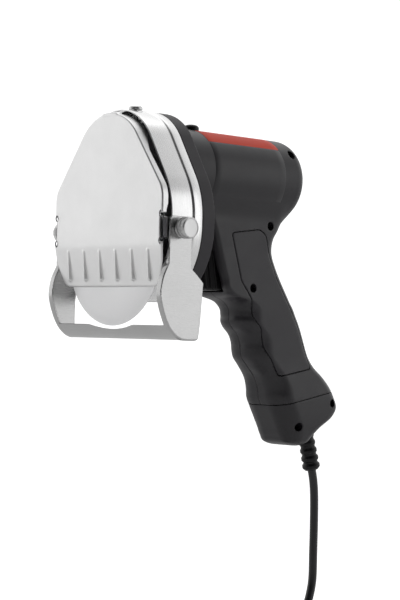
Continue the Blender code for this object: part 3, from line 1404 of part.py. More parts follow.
def coil_points():
    """The stored length: a layer wound in, a climb, and a layer wound out to lie down beside it."""
    touch_x, touch_y = coil_touchdown
    centre = Vector((touch_x - coil_outer_loop_radius, touch_y, 0))
    low = floor_z + coil_lift + lead_diameter / 2
    high = low + lead_diameter + coil_lift / 2
    straight = Vector((touch_x, touch_y + lead_diameter, low))
    points = [straight]
    inner = coil_outer_loop_radius - coil_pitch * coil_lower_turns
    total = coil_lower_turns + coil_upper_turns
    count = round(total * coil_loop_steps)
    for i in range(count + 1):
        turn = i / coil_loop_steps
        if turn <= coil_lower_turns:
            radius = coil_outer_loop_radius - coil_pitch * turn
        else:
            radius = inner + coil_pitch * (turn - coil_lower_turns)
        climb = min(max((turn - coil_lower_turns + 0.25) / 0.5, 0), 1)
        drop = min(max((turn - total + 0.48) / 0.44, 0), 1)
        ease = climb * climb * (3 - 2 * climb) - drop * drop * (3 - 2 * drop)
        angle = -2 * math.pi * turn
        points.append(centre + Vector((radius * math.cos(angle), radius * math.sin(angle), low + (high - low) * ease)))
    along = (points[-1] - points[-2]).normalized()
    points.append(points[-1] + along * lead_diameter)
    return points, centre, along


def make_lead():
    """Mains lead: the hanging stretch, the coil, its tie and the plug."""
    exit_point = make_strain_relief()
    start = exit_point + relief_matrix().to_3x3() @ Vector((0, 0, -seat_gap))
    coil, coil_centre, along = coil_points()
    foot = coil[0] + Vector((0, seat_gap, 0))
    # Route of the hanging stretch, by hand: start, down, a wide bend, then along the floor
    route = [start, start + Vector((0, 2.2 * MM, -9 * MM)), start + Vector((0, 3.6 * MM, -21 * MM)),
             start + Vector((0, 4.1 * MM, -40 * MM)), start + Vector((0, 4 * MM, -66 * MM)),
             start + Vector((0, 3.2 * MM, -92 * MM)),
             Vector((0, start.y - 4 * MM, foot.z + 33 * MM)), Vector((0, start.y - 15 * MM, foot.z + 13.5 * MM)),
             Vector((0, start.y - 33 * MM, foot.z + 3.4 * MM)), Vector((0, start.y - 54 * MM, foot.z + 0.6 * MM)),
             foot + Vector((0, 12 * MM, 0)), foot]
    points, hang_length = smooth_points(route, 2.2 * lead_diameter)
    tube_part("mains_lead", points, lead_diameter, black_rubber, resolution=2)
    tube_part("lead_coil", coil, lead_diameter, black_rubber)
    coil_length = sum((b - a).length for a, b in zip(coil, coil[1:]))
    print("lead_coil least gap to itself in mm", round(coil_gap(coil) / MM, 2))
    print("lead length in m", round(hang_length + coil_length, 3), "hanging", round(hang_length, 3))
    make_tie(coil_centre)
    make_plug(coil[-1], along)


def coil_gap(points):
    """Least clear distance between different turns of the coil."""
    nearest = None
    skip = coil_loop_steps // 2
    for i, first in enumerate(points):
        for second in range(i + skip, len(points) - 1):
            a, b = points[second], points[second + 1]
            share = min(max((first - a).dot(b - a) / (b - a).length_squared, 0), 1)
            distance = (first - a.lerp(b, share)).length
            if nearest is None or distance < nearest:
                nearest = distance
    return nearest - lead_diameter


def make_tie(coil_centre):
    """A flat strap round the coil's bundle on its left side."""
    clear = lead_diameter / 2 + tie_clearance
    low = floor_z + tie_thickness + seat_gap
    low_inner = floor_z + tie_thickness
    high_inner = floor_z + coil_lift + lead_diameter * 2 + coil_lift / 2 + tie_clearance
    outer_radius = coil_outer_loop_radius + coil_pitch * (coil_upper_turns - coil_lower_turns) + clear
    inner_radius = coil_outer_loop_radius - coil_pitch * coil_lower_turns - clear
    reach = [(-outer_radius, low_inner), (-inner_radius, low_inner), (-inner_radius, high_inner),
             (-outer_radius, high_inner)]
    ring = grown(reach, tie_thickness)
    mesh = flat_mesh([(x, z) for x, z in ring], -tie_width / 2, tie_width / 2, "Y", [reach])
    mesh.transform(Matrix.Translation((coil_centre.x, coil_centre.y, max(0, low - low_inner - seat_gap))))
    add_part("coil_tie", mesh, black_rubber)


def make_plug(end_point, along):
    """Flat two-pin plug, drawn along local Y from the lead's end."""
    plug_frame = bpy.data.objects.new("plug_frame", None)
    parts.objects.link(plug_frame)
    plug_frame.parent = slicer_frame
    level = floor_z + plug_half_height + seat_gap
    plug_frame.location = (end_point.x, end_point.y, 0)
    plug_frame.rotation_euler = (0, 0, math.atan2(along.y, along.x) - math.pi / 2)
    rings = []
    lead_z = end_point.z
    neck = lead_diameter * 0.62
    for y, wide, tall, z in ((seat_gap, neck, neck, lead_z), (plug_nose_length, neck * 1.25, neck * 1.2, lead_z),
                             (plug_nose_length * 1.8, plug_half_width * 0.8, plug_half_height * 0.92, level),
                             (plug_nose_length * 2.5, plug_half_width, plug_half_height, level),
                             (plug_length, plug_half_width, plug_half_height, level)):
        corner = min(wide, tall) * 0.7
        ring = arc((wide - corner, tall - corner), corner, 0, 90, 3)
        ring += arc((corner - wide, tall - corner), corner, 90, 180, 3)
        ring += arc((corner - wide, corner - tall), corner, 180, 270, 3)
        ring += arc((wide - corner, corner - tall), corner, 270, 360, 3)
        rings.append([(x, y, z + dz) for x, dz in ring])
    body = add_part("plug_body", loft_mesh(rings), black_rubber, parent=plug_frame)
    insert_wide = plug_half_width - plug_insert_margin
    insert_tall = plug_half_height - plug_insert_margin
    cut(body, box_mesh((-insert_wide - seat_gap, plug_length - plug_insert_depth - seat_gap,
                        level - insert_tall - seat_gap),
                       (insert_wide + seat_gap, plug_length + overrun, level + insert_tall + seat_gap)))
    insert = add_part("plug_pins", box_mesh((-insert_wide, plug_length - plug_insert_depth, level - insert_tall),
                                            (insert_wide, plug_length, level + insert_tall)), bright_steel,
                      parent=plug_frame)
    tip = plug_length + plug_pin_length
    sleeve_end = plug_length + plug_sleeve_length
    soft = plug_pin_radius * 0.6
    for side in (-1, 1):
        join(insert, turned_mesh(
            [(0, tip), (plug_pin_radius - soft, tip), (plug_pin_radius, tip - soft), (plug_pin_radius, sleeve_end),
             (plug_pin_radius - plug_pin_neck, sleeve_end), (plug_pin_radius - plug_pin_neck, plug_length - seat_gap),
             (0, plug_length - seat_gap)], "Y", (side * plug_pin_half_spacing, 0, level), 12))


make_blade_set()
make_idler()
make_drum()
make_gear_case()
make_gear_cover()
make_slice_plate()
make_plate_springs()
make_knobs()
make_clamp()
make_guard()
make_body()
make_screws()
make_motor()
make_trigger()
make_lock()
make_grip_insides()
make_lead()
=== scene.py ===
import json
import math
from math import cos, pi, radians, sin, tan

import bmesh
import bpy
import numpy as np
from mathutils import Matrix, Vector
from numpy import clip, hypot, interp, maximum, minimum, sqrt, where


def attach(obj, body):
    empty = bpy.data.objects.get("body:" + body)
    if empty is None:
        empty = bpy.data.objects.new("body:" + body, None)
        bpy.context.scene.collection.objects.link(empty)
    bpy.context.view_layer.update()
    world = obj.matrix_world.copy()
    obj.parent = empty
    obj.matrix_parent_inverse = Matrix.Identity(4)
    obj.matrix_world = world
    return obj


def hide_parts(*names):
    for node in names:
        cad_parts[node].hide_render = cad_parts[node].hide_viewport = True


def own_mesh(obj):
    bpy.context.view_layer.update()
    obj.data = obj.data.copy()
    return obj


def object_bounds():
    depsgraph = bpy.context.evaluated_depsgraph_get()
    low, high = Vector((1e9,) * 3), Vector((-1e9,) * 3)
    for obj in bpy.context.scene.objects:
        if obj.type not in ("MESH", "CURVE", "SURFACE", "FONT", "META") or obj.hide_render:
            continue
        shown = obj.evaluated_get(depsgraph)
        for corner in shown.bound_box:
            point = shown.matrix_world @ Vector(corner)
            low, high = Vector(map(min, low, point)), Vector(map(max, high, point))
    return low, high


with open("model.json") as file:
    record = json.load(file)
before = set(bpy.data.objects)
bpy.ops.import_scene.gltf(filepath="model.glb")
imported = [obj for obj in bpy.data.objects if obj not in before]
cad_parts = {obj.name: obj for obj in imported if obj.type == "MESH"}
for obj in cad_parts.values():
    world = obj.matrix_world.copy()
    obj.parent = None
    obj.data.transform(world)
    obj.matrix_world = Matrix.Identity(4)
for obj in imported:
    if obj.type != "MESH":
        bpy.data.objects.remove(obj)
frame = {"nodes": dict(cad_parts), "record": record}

cad_box = [list(corner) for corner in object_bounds()]

# Head frame in millimetres: X right, Y from the slice plate to the motor, Z up, blade axis at X = Z = 0
HOLD = Vector((0.0, -0.168, 0.060))
TO_ROW = Matrix.Translation(HOLD) @ Matrix.Diagonal((0.001, 0.001, 0.001, 1))
FLOOR_Z = cad_box[0][2] - 0.0003

scene = bpy.context.scene
details = bpy.data.collections.new("details")
scene.collection.children.link(details)


def row_point(x, y, z):
    return TO_ROW @ Vector((x, y, z))


# ---- materials


def found(owner, kind):
    return next(n for n in owner.node_tree.nodes if n.type == kind)


def node(owner, kind, **values):
    """A new node. Values go to the inputs of that name, the others to its settings."""
    made = owner.node_tree.nodes.new(kind)
    for key, value in values.items():
        if key in made.inputs:
            made.inputs[key].default_value = value
        else:
            setattr(made, key, value)
    return made


def wire(owner, *links):
    """Each link is (node, output, node, input)."""
    for a, out, b, into in links:
        owner.node_tree.links.new(a.outputs[out], b.inputs[into])


def ranged(owner, from_low, from_high, low, high, **values):
    limits = {"From Min": from_low, "From Max": from_high, "To Min": low, "To Max": high}
    return node(owner, "ShaderNodeMapRange", **values, **limits)


def base_material(name, colour, roughness, metallic, specular):
    material = bpy.data.materials.new(name)
    material.use_nodes = True
    shader = found(material, "BSDF_PRINCIPLED")
    for key, value in (("Base Color", (*colour, 1)), ("Roughness", roughness), ("Metallic", metallic),
                       ("Specular IOR Level", specular)):
        shader.inputs[key].default_value = value
    return material, shader


def noise(material, stretch, scale, detail, rough):
    """Noise over the piece's own coordinates, which are stretched first."""
    coords = node(material, "ShaderNodeTexCoord")
    mapping = node(material, "ShaderNodeMapping", Scale=stretch)
    made = node(material, "ShaderNodeTexNoise", Scale=scale, Detail=detail, Roughness=rough)
    wire(material, (coords, "Object", mapping, "Vector"), (mapping, "Vector", made, "Vector"))
    return made


def toned(material, shader, cloud, low, high):
    """The base colour varies between two tones with a noise."""
    made = node(material, "ShaderNodeValToRGB")
    for element, place, colour in zip(made.color_ramp.elements, NOISE_SPAN, (low, high)):
        element.position = place
        element.color = (*colour, 1)
    wire(material, (cloud, "Fac", made, "Fac"), (made, "Color", shader, "Base Color"))


def uneven(material, shader, colour, roughness, tint, spread, cloud, worn, grain, depth):
    """Tone from the noise cloud, roughness from the noise worn and a relief from the noise grain."""
    low, high = (tuple(min(1.0, c * share) for c in colour) for share in (1 - tint, 1 + tint))
    toned(material, shader, cloud, low, high)
    rough = ranged(material, *NOISE_SPAN, roughness - spread, roughness + spread)
    relief = node(material, "ShaderNodeBump", Strength=1.0, Distance=depth)
    wire(material, (worn, "Fac", rough, "Value"), (rough, "Result", shader, "Roughness"),
         (grain, "Fac", relief, "Height"), (relief, "Normal", shader, "Normal"))
    return material


def brushed_steel(name, colour, roughness, stretch, tint=0.03, spread=0.06):
    """Pressed or brushed metal: long fine grain, faint cloudiness and varying roughness."""
    material, shader = base_material(name, colour, roughness, 1.0, 0.5)
    grain = noise(material, stretch, 1.0, 6.0, 0.65)
    cloud = noise(material, EVEN, 38.0, 5.0, 0.6)
    return uneven(material, shader, colour, roughness, tint, spread, cloud, grain, grain, 0.000006)


def moulded(name, colour, roughness, specular=0.5, grain=1500.0, depth=0.00003, tint=0.25):
    """Moulded plastic or rubber: fine spark-eroded grain and a slight unevenness of tone."""
    material, shader = base_material(name, colour, roughness, 0.0, specular)
    fine = noise(material, EVEN, grain, 3.0, 0.6)
    cloud = noise(material, EVEN, 45.0, 4.0, 0.6)
    return uneven(material, shader, colour, roughness, tint, 0.05, cloud, cloud, fine, depth)


EVEN = (1, 1, 1)
NOISE_SPAN = (0.3, 0.7)
# Name, colour, roughness, stretch of the grain, tint, spread of the roughness
METALS = (
    ("plate_steel", (0.79, 0.79, 0.79), 0.38, (2500, 2500, 60)),
    ("drum_steel", (0.80, 0.80, 0.80), 0.28, (60, 2500, 60)),
    ("guard_steel", (0.49, 0.49, 0.49), 0.26, (3200, 90, 3000), 0.03, 0.03),
    ("blade_steel", (0.62, 0.62, 0.625), 0.32, (2600, 2600, 400), 0.01, 0.03),
    ("knob_steel", (0.62, 0.62, 0.62), 0.36, (900, 2400, 2400), 0.04),
    ("screw_steel", (0.62, 0.62, 0.63), 0.34, (1500, 1500, 1500), 0.05),
    ("screw_dark", (0.10, 0.10, 0.105), 0.38, (1500, 1500, 1500), 0.1),
    ("spring_wire", (0.25, 0.25, 0.26), 0.32, (1500, 1500, 1500), 0.08),
    ("copper_wire", (0.72, 0.36, 0.2), 0.35, (900, 900, 900)),
    ("stacked_iron", (0.4, 0.4, 0.42), 0.45, (60, 2500, 60)))
# Name, colour, roughness, specular level, size and depth of the grain, tint
PLASTICS = (
    ("body_black", (0.0125, 0.0110, 0.0145), 0.42),
    ("case_black", (0.019, 0.0165, 0.0215), 0.54),
    ("panel_black", (0.0155, 0.0135, 0.0180), 0.44, 0.5, 2200.0, 0.00002),
    ("trigger_black", (0.004, 0.0036, 0.0044), 0.40, 0.25),
    ("rubber_black", (0.006, 0.006, 0.007), 0.42, 0.3, 900.0, 0.00001),
    ("lead_black", (0.014, 0.014, 0.016), 0.33, 0.5, 700.0, 0.000008),
    ("label_black", (0.0120, 0.0108, 0.0140), 0.40, 0.5, 2600.0, 0.000004, 0.06),
    ("label_red", (0.74, 0.082, 0.050), 0.55, 0.12, 2600.0, 0.000004, 0.05),
    ("grey_part", (0.3, 0.3, 0.32), 0.5),
    ("film_yellow", (0.75, 0.6, 0.3), 0.3, 0.5, 800.0, 0.000005, 0.05))
looks = {row[0]: brushed_steel(*row) for row in METALS} | {row[0]: moulded(*row) for row in PLASTICS}

# The build's own solids, by the slots of the record
SLOT_LOOKS = {
    "satin_steel": "drum_steel", "bright_steel": "screw_steel", "spring_steel": "spring_wire",
    "black_plastic": "body_black", "black_rubber": "rubber_black", "grey_plastic": "grey_part",
    "copper": "copper_wire", "laminated_iron": "stacked_iron", "film_yellow": "film_yellow"}
for part in frame["record"]["subparts"]:
    item = frame["nodes"][part["node"]]
    item.data.materials.clear()
    item.data.materials.append(looks[SLOT_LOOKS[part["material_slot"]]])

# ---- mesh helpers


def piece(name, mesh, look, nodes, body="slicer_body", smooth=40):
    """A finished piece: it gets its material, rides on its body and stands for its CAD nodes."""
    mesh.transform(TO_ROW)
    mesh.name = name
    mesh.materials.clear()
    mesh.materials.append(looks[look])
    mesh.shade_smooth()
    mesh.set_sharp_from_angle(angle=radians(smooth))
    item = bpy.data.objects.new(name, mesh)
    details.objects.link(item)
    if nodes:
        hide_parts(*nodes)
    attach(item, body)
    return item


def mesh_of(points, faces):
    mesh = bpy.data.meshes.new("mesh")
    mesh.from_pydata([tuple(p) for p in points], [], [tuple(f) for f in faces])
    mesh.validate()
    return mesh


def outward(mesh):
    cage = bmesh.new()
    cage.from_mesh(mesh)
    bmesh.ops.remove_doubles(cage, verts=cage.verts, dist=0.0005)
    bmesh.ops.recalc_face_normals(cage, faces=cage.faces)
    cage.to_mesh(mesh)
    cage.free()
    return mesh


def loft(rings, loop=False):
    """Skin closed rings of equal length. loop joins the last ring to the first, else both ends are capped."""
    rings = np.asarray(rings, float)
    rows, count = rings.shape[:2]
    faces = []
    for r in range(rows if loop else rows - 1):
        s = (r + 1) % rows
        for i in range(count):
            j = (i + 1) % count
            faces.append((r * count + i, r * count + j, s * count + j, s * count + i))
    if not loop:
        faces.append(tuple(range(count)))
        faces.append(tuple((rows - 1) * count + i for i in range(count)))
    return outward(mesh_of(rings.reshape(-1, 3), faces))


def turned(profile, axis, centre=(0, 0, 0), sides=64, loop=False):
    """Turn a profile of (radius, height) about the axis "Y" or "Z" through centre."""
    rings = []
    for radius, height in profile:
        ring = []
        for i in range(sides):
            a = 2 * pi * i / sides
            u, v = max(radius, 0.0001) * cos(a), max(radius, 0.0001) * sin(a)
            step = (u, height, v) if axis == "Y" else (u, v, height)
            ring.append(tuple(c + s for c, s in zip(centre, step)))
        rings.append(ring)
    return loft(rings, loop=loop)


def rounded(corners, radius, steps):
    """Replace the inner corners of an open profile by short arcs."""
    result = [corners[0]]
    for a, b, c in zip(corners, corners[1:], corners[2:]):
        a, b, c = Vector(a), Vector(b), Vector(c)
        before, after = a - b, c - b
        r = min(radius, before.length * 0.45, after.length * 0.45)
        p, q = b + before.normalized() * r, b + after.normalized() * r
        for i in range(steps + 1):
            t = i / steps
            result.append(tuple((1 - t) ** 2 * p + 2 * t * (1 - t) * b + t * t * q))
    return result + [corners[-1]]


def arc(centre, radius, start, end, steps):
    angles = [radians(start + (end - start) * i / steps) for i in range(steps + 1)]
    return [(centre[0] + radius * cos(a), centre[1] + radius * sin(a)) for a in angles]


def soft_box(low_a, high_a, low_b, high_b, soft, steps):
    """A rectangle with rounded corners, from the upper right one round."""
    low_a, high_a, low_b, high_b = low_a + soft, high_a - soft, low_b + soft, high_b - soft
    ring = []
    for a, b, start in ((high_a, high_b, 0), (low_a, high_b, 90), (low_a, low_b, 180), (high_a, low_b, 270)):
        ring += arc((a, b), soft, start, start + 90, steps)
    return ring


def ease(t):
    return t * t * (3 - 2 * t)


def smooth_line(points, count):
    """Catmull-Rom through the points, resampled evenly."""
    pts = [np.array(p, float) for p in points]
    n = len(pts)
    fine = []
    for i in range(n - 1):
        b, c = pts[i], pts[i + 1]
        a = pts[i - 1] if i else 2 * b - c
        d = pts[i + 2] if i + 2 < n else 2 * c - b
        for k in range(16):
            t = k / 16
            fine.append(0.5 * (2 * b + (c - a) * t + (2 * a - 5 * b + 4 * c - d) * t * t
                               + (3 * b - a - 3 * c + d) * t ** 3))
    fine = np.array(fine + [pts[-1]])
    length = np.concatenate([[0], np.cumsum(np.linalg.norm(np.diff(fine, axis=0), axis=1))])
    at = np.linspace(0, length[-1], count)
    return [tuple(p) for p in np.stack([interp(at, length, column) for column in fine.T], axis=1)]


def tube(points, radius, sides):
    """A round tube along points, with the frame carried along it."""
    pts = [Vector(p) for p in points]
    side = (pts[1] - pts[0]).normalized().orthogonal().normalized()
    rings = []
    for i, p in enumerate(pts):
        t = (pts[min(i + 1, len(pts) - 1)] - pts[max(i - 1, 0)]).normalized()
        side = (side - t * side.dot(t)).normalized()
        up = t.cross(side)
        ring = []
        for k in range(sides):
            a = 2 * pi * k / sides
            ring.append(tuple(p + (side * cos(a) + up * sin(a)) * radius))
        rings.append(ring)
    return loft(rings)


def joined(meshes):
    cage = bmesh.new()
    for mesh in meshes:
        cage.from_mesh(mesh)
    whole = bpy.data.meshes.new("joined")
    cage.to_mesh(whole)
    cage.free()
    return whole


def surface_net(field, low, high, step):
    """The zero surface of a distance field as a smooth quad mesh, its points pulled onto the surface."""
    axes = [np.arange(l, h + step, step) for l, h in zip(low, high)]
    grid = np.meshgrid(*axes, indexing="ij")
    value = field(*grid).astype(np.float32)
    inside = value < 0
    corners = list(np.ndindex(2, 2, 2))
    nx, ny, nz = (n - 1 for n in value.shape)
    count = sum(inside[a:a + nx, b:b + ny, c:c + nz].astype(np.int8) for a, b, c in corners)
    active = (count > 0) & (count < 8)
    cells = np.argwhere(active)
    index = np.full(active.shape, -1, np.int64)
    index[active] = np.arange(len(cells))
    at = {corner: value[tuple((cells + corner).T)] for corner in corners}
    total, hits = np.zeros((len(cells), 3)), np.zeros(len(cells))
    for a in corners:
        for k in range(3):
            if a[k]:
                continue
            b = tuple(1 if m == k else a[m] for m in range(3))
            cross = (at[a] < 0) != (at[b] < 0)
            share = where(cross, at[a] / where(cross, at[a] - at[b], 1), 0)
            spot = np.array(a, float) + share[:, None] * (np.array(b) - np.array(a))
            total += where(cross[:, None], spot, 0)
            hits += cross
    points = np.array([ax[0] for ax in axes]) + step * (cells + total / hits[:, None])
    faces = []
    for k in range(3):
        others = [m for m in range(3) if m != k]
        ahead = tuple(slice(1, None) if m == k else slice(None) for m in range(3))
        behind = tuple(slice(None, -1) if m == k else slice(None) for m in range(3))
        edges = np.argwhere(inside[behind] != inside[ahead])
        for m in others:
            edges = edges[(edges[:, m] > 0) & (edges[:, m] < value.shape[m] - 1)]
        ring = []
        for da, db in ((-1, -1), (0, -1), (0, 0), (-1, 0)):
            cell = edges.copy()
            cell[:, others[0]] += da
            cell[:, others[1]] += db
            ring.append(index[tuple(cell.T)])
        quads = np.stack(ring, axis=1)
        flip = inside[behind][tuple(edges.T)]
        if k == 1:
            flip = ~flip
        quads[~flip] = quads[~flip][:, ::-1]
        faces.append(quads)
    faces = np.concatenate(faces)
    reach = 0.05
    for _ in range(3):
        x, y, z = points.T
        here = field(x, y, z)
        slope = np.stack([field(x + reach, y, z) - here, field(x, y + reach, z) - here,
                          field(x, y, z + reach) - here], axis=1) / reach
        size = maximum((slope ** 2).sum(axis=1), 0.2)
        move = -(here / size)[:, None] * slope
        longest = np.linalg.norm(move, axis=1)
        move *= minimum(1, 0.5 * step / maximum(longest, 1e-9))[:, None]
        points = points + move
    mesh = bpy.data.meshes.new("net")
    mesh.vertices.add(len(points))
    mesh.vertices.foreach_set("co", points.astype(np.float32).ravel())
    mesh.loops.add(faces.size)
    mesh.loops.foreach_set("vertex_index", faces.ravel().astype(np.int32))
    mesh.polygons.add(len(faces))
    mesh.polygons.foreach_set("loop_start", np.arange(0, faces.size, 4, dtype=np.int32))
    mesh.update(calc_edges=True)
    mesh.validate()
    return mesh


def smin(a, b, k):
    h = clip(0.5 + 0.5 * (b - a) / k, 0, 1)
    return b + (a - b) * h - k * h * (1 - h)


def smax(a, b, k):
    return -smin(-a, -b, k)


def box_field(x, y, z, low, high, soft=0.0):
    centre = [(a + b) / 2 for a, b in zip(low, high)]
    half = [(b - a) / 2 - soft for a, b in zip(low, high)]
    q = [abs(v - c) - h for v, c, h in zip((x, y, z), centre, half)]
    out = sqrt(sum(maximum(v, 0) ** 2 for v in q))
    return out + minimum(maximum(maximum(q[0], q[1]), q[2]), 0) - soft


def polygon_field(a, b, polygon, across=0):
    """Signed distance to a closed polygon, negative inside. It lies across axis 0 (Y-Z) or axis 1 (X-Z)."""
    if a.ndim == 3:
        if across:
            return np.broadcast_to(polygon_field(a[:, 0], b[:, 0], polygon)[:, None], a.shape)
        return np.broadcast_to(polygon_field(a[0], b[0], polygon), a.shape)
    best = np.full(a.shape, 1e9)
    crossed = np.zeros(a.shape, bool)
    for (a0, b0), (a1, b1) in zip(polygon, list(polygon[1:]) + [polygon[0]]):
        ea, eb = a1 - a0, b1 - b0
        t = clip(((a - a0) * ea + (b - b0) * eb) / max(ea * ea + eb * eb, 1e-12), 0, 1)
        best = minimum(best, (a - a0 - t * ea) ** 2 + (b - b0 - t * eb) ** 2)
        if b0 != b1:
            between = (b0 > b) != (b1 > b)
            crossed ^= between & (a < a0 + (b - b0) * ea / eb)
    return sqrt(best) * where(crossed, -1, 1)


def rod(across, radius, along, middle, half):
    """A cylinder, from the distance across its axis and the place along it."""
    return maximum(across - radius, abs(along - middle) - half)


# ---- camera, light and floor


def add(name, data, place=(0, 0, 0)):
    item = bpy.data.objects.new(name, data)
    item.location = place
    scene.collection.objects.link(item)
    return item


lens = bpy.data.cameras.new("camera")
lens.lens = 102
lens.sensor_width = 36
lens.clip_start = 0.05
lens.clip_end = 60
camera = add("camera", lens)
right = Vector((0.6885, 0.7248, 0.0236)).normalized()
ahead = Vector((-0.7252, 0.6882, 0.0206)).normalized()
up = right.cross(ahead).normalized()
right = ahead.cross(up).normalized()
turn = Matrix((right, up, -ahead)).transposed()
camera.matrix_world = Matrix.Translation((0.9304, -0.7889 - 0.168, -0.0553 + 0.060)) @ turn.to_4x4()
scene.camera = camera

floor_mesh = mesh_of([(-8, -8, 0), (8, -8, 0), (8, 8, 0), (-8, 8, 0)], [(0, 1, 2, 3)])
floor = add("floor", floor_mesh, (0, 0, FLOOR_Z))
paint, shader = base_material("floor_paint", (0.93, 0.93, 0.93), 0.9, 0.0, 0.1)
toned(paint, shader, noise(paint, EVEN, 3.0, 4.0, 0.55), (0.925, 0.925, 0.925), (0.935, 0.935, 0.935))
floor_mesh.materials.append(paint)
# The camera alone sees the floor glow a little, so that it comes out white
path = node(paint, "ShaderNodeLightPath")
glow = node(paint, "ShaderNodeEmission", Strength=0.6)
dark = node(paint, "ShaderNodeEmission", Strength=0.0)
view = node(paint, "ShaderNodeMixShader")
both = node(paint, "ShaderNodeAddShader")
wire(paint, (path, "Is Camera Ray", view, 0), (dark, 0, view, 1), (glow, 0, view, 2),
     (shader, "BSDF", both, 0), (view, 0, both, 1), (both, 0, found(paint, "OUTPUT_MATERIAL"), "Surface"))

world = bpy.data.worlds.new("studio")
scene.world = world
world.use_nodes = True
background = found(world, "BACKGROUND")
background.inputs["Color"].default_value = (1, 1, 1, 1)
# The studio is bright all round and dark only behind the camera, which itself sees plain white
around = node(world, "ShaderNodeTexCoord")
toward = node(world, "ShaderNodeVectorMath", operation="DOT_PRODUCT")
toward.inputs[1].default_value = (0.725, -0.688, 0.0)
dimming = ranged(world, -0.80, 0.75, 1.05, 0.03, interpolation_type="SMOOTHSTEP")
path = node(world, "ShaderNodeLightPath")
white = node(world, "ShaderNodeBackground", Color=(1, 1, 1, 1), Strength=1.2)
chooser = node(world, "ShaderNodeMixShader")
wire(world, (around, "Generated", toward, 0), (toward, "Value", dimming, "Value"),
     (dimming, "Result", background, "Strength"), (path, "Is Camera Ray", chooser, 0),
     (background, 0, chooser, 1), (white, 0, chooser, 2),
     (chooser, 0, found(world, "OUTPUT_WORLD"), "Surface"))

SOFTBOXES = (("left_front", (-1.6, -1.5, 0.35), (0, -0.15, 0.05), (1.6, 1.6), 3.9),
             ("right_back", (1.5, 1.2, 0.45), (0, -0.1, 0.05), (1.1, 1.3), 4.0),
             ("top", (-0.3, 0.3, 1.8), (0, 0, 0), (1.5, 1.5), 4.8))
for name, place, target, size, power in SOFTBOXES:
    light = bpy.data.lights.new(name, "AREA")
    light.shape = "RECTANGLE"
    light.size, light.size_y = size
    light.energy = power
    box = add(name, light, place)
    box.rotation_euler = (Vector(target) - box.location).to_track_quat("-Z", "Y").to_euler()
scene.view_settings.view_transform = "Standard"

# ---- pistol body: barrel and grip as one smooth form, split into halves and end cap

SIDES = (("right", 1), ("left", -1))
AXIS_Z = 66.0
BARREL_R, BARREL_FRONT, BARREL_BACK, BARREL_SOFT, WALL = 32.0, 51.1, 177.4, 12.0, 2.8
# Rows of the grip: height, front, back, half width; then the corners' radii in front and behind
GRIP_ROWS = (
    (62.0, 80.0, 164.0, 17.0), (52.0, 80.0, 165.9, 19.0), (38.0, 81.9, 168.0, 20.4),
    (28.0, 85.9, 164.5, 20.6), (20.0, 89.4, 159.5, 20.4), (10.0, 93.0, 158.1, 20.0),
    (-3.1, 97.5, 163.3, 20.0), (-12.1, 101.0, 168.7, 20.0), (-21.6, 105.3, 175.1, 20.0),
    (-25.4, 109.0, 177.7, 20.0), (-28.3, 116.8, 179.6, 20.0), (-32.5, 122.5, 182.9, 20.0),
    (-39.5, 125.3, 186.9, 20.0), (-44.8, 125.6, 190.0, 20.0), (-48.5, 128.1, 191.9, 20.0),
    (-53.7, 133.8, 194.2, 20.0), (-59.8, 137.1, 196.8, 20.0), (-66.0, 138.1, 199.4, 20.0),
    (-71.5, 139.7, 202.3, 20.0), (-78.7, 146.3, 208.2, 20.4), (-86.7, 153.9, 217.4, 21.8),
    (-95.7, 158.1, 225.4, 23.0), (-102.9, 159.5, 229.4, 23.6), (-110.9, 163.5, 232.5, 23.6),
    (-118.8, 167.8, 227.0, 23.4), (-126.6, 172.0, 214.3, 22.6), (-133.0, 175.1, 206.0, 21.2),
    (-138.0, 178.7, 201.1, 18.8), (-141.0, 184.6, 195.9, 14.4))
GRIP_FRONT_R = [4.5] * 9 + [9.0, 15.0] + [17.0] * 14 + [16.0, 14.0, 10.5, 5.5]
GRIP_BACK_R = [14.5] * 25 + [14.0, 12.0, 10.0, 5.5]
GRIP_TOP, GRIP_FOOT, GRIP_REACH, GRIP_DROP, DROP_START = 62.0, -140.6, 236, 167, 26


def grip_point(along, down):
    """A point (Y, Z) of the pistol body from shares of its reach backwards and of its drop."""
    return GRIP_REACH * along, DROP_START - GRIP_DROP * down


SEAM = (*grip_point(0.815, 0.774), radians(10.5))
PANEL = [grip_point(along, down) for down, along in (
    (0.024, 0.452), (0.000, 0.575), (0.022, 0.604), (0.110, 0.624), (0.222, 0.664), (0.337, 0.722),
    (0.452, 0.775), (0.592, 0.820), (0.634, 0.830), (0.668, 0.685), (0.640, 0.672), (0.590, 0.648),
    (0.545, 0.622), (0.500, 0.613), (0.450, 0.600), (0.425, 0.582), (0.395, 0.566), (0.345, 0.560),
    (0.300, 0.540), (0.270, 0.522), (0.235, 0.500), (0.120, 0.475))]
BODY_SCREWS = (grip_point(0.554, 0.268), grip_point(0.625, -0.021), (BARREL_BACK - 13.4, AXIS_Z + 19.4))
CAP_SCREWS = (grip_point(0.775, 0.905), grip_point(0.932, 0.797))
BOSS_R, HOLE_R, WELL_R, WELL_FLOOR, JOINT = 4.8, 2.0, 3.3, 12.7, 0.15
LOCK_HOLE_R, VENT_PITCH, VENT_HALF = 6.35, 7.28, 1.4
# The side panels: where they start off the middle, their recess, thickness and the extra wall behind them
PANEL_IN, RECESS, PANEL_THICK, PANEL_WALL = 8.0, 2.3, 2.1, 1.8
LOCK_Y = BARREL_FRONT + 126.3 * 0.233
RELIEF_Y, RELIEF_Z, RELIEF_LEAN = 213.6, -130.1, radians(15.7)


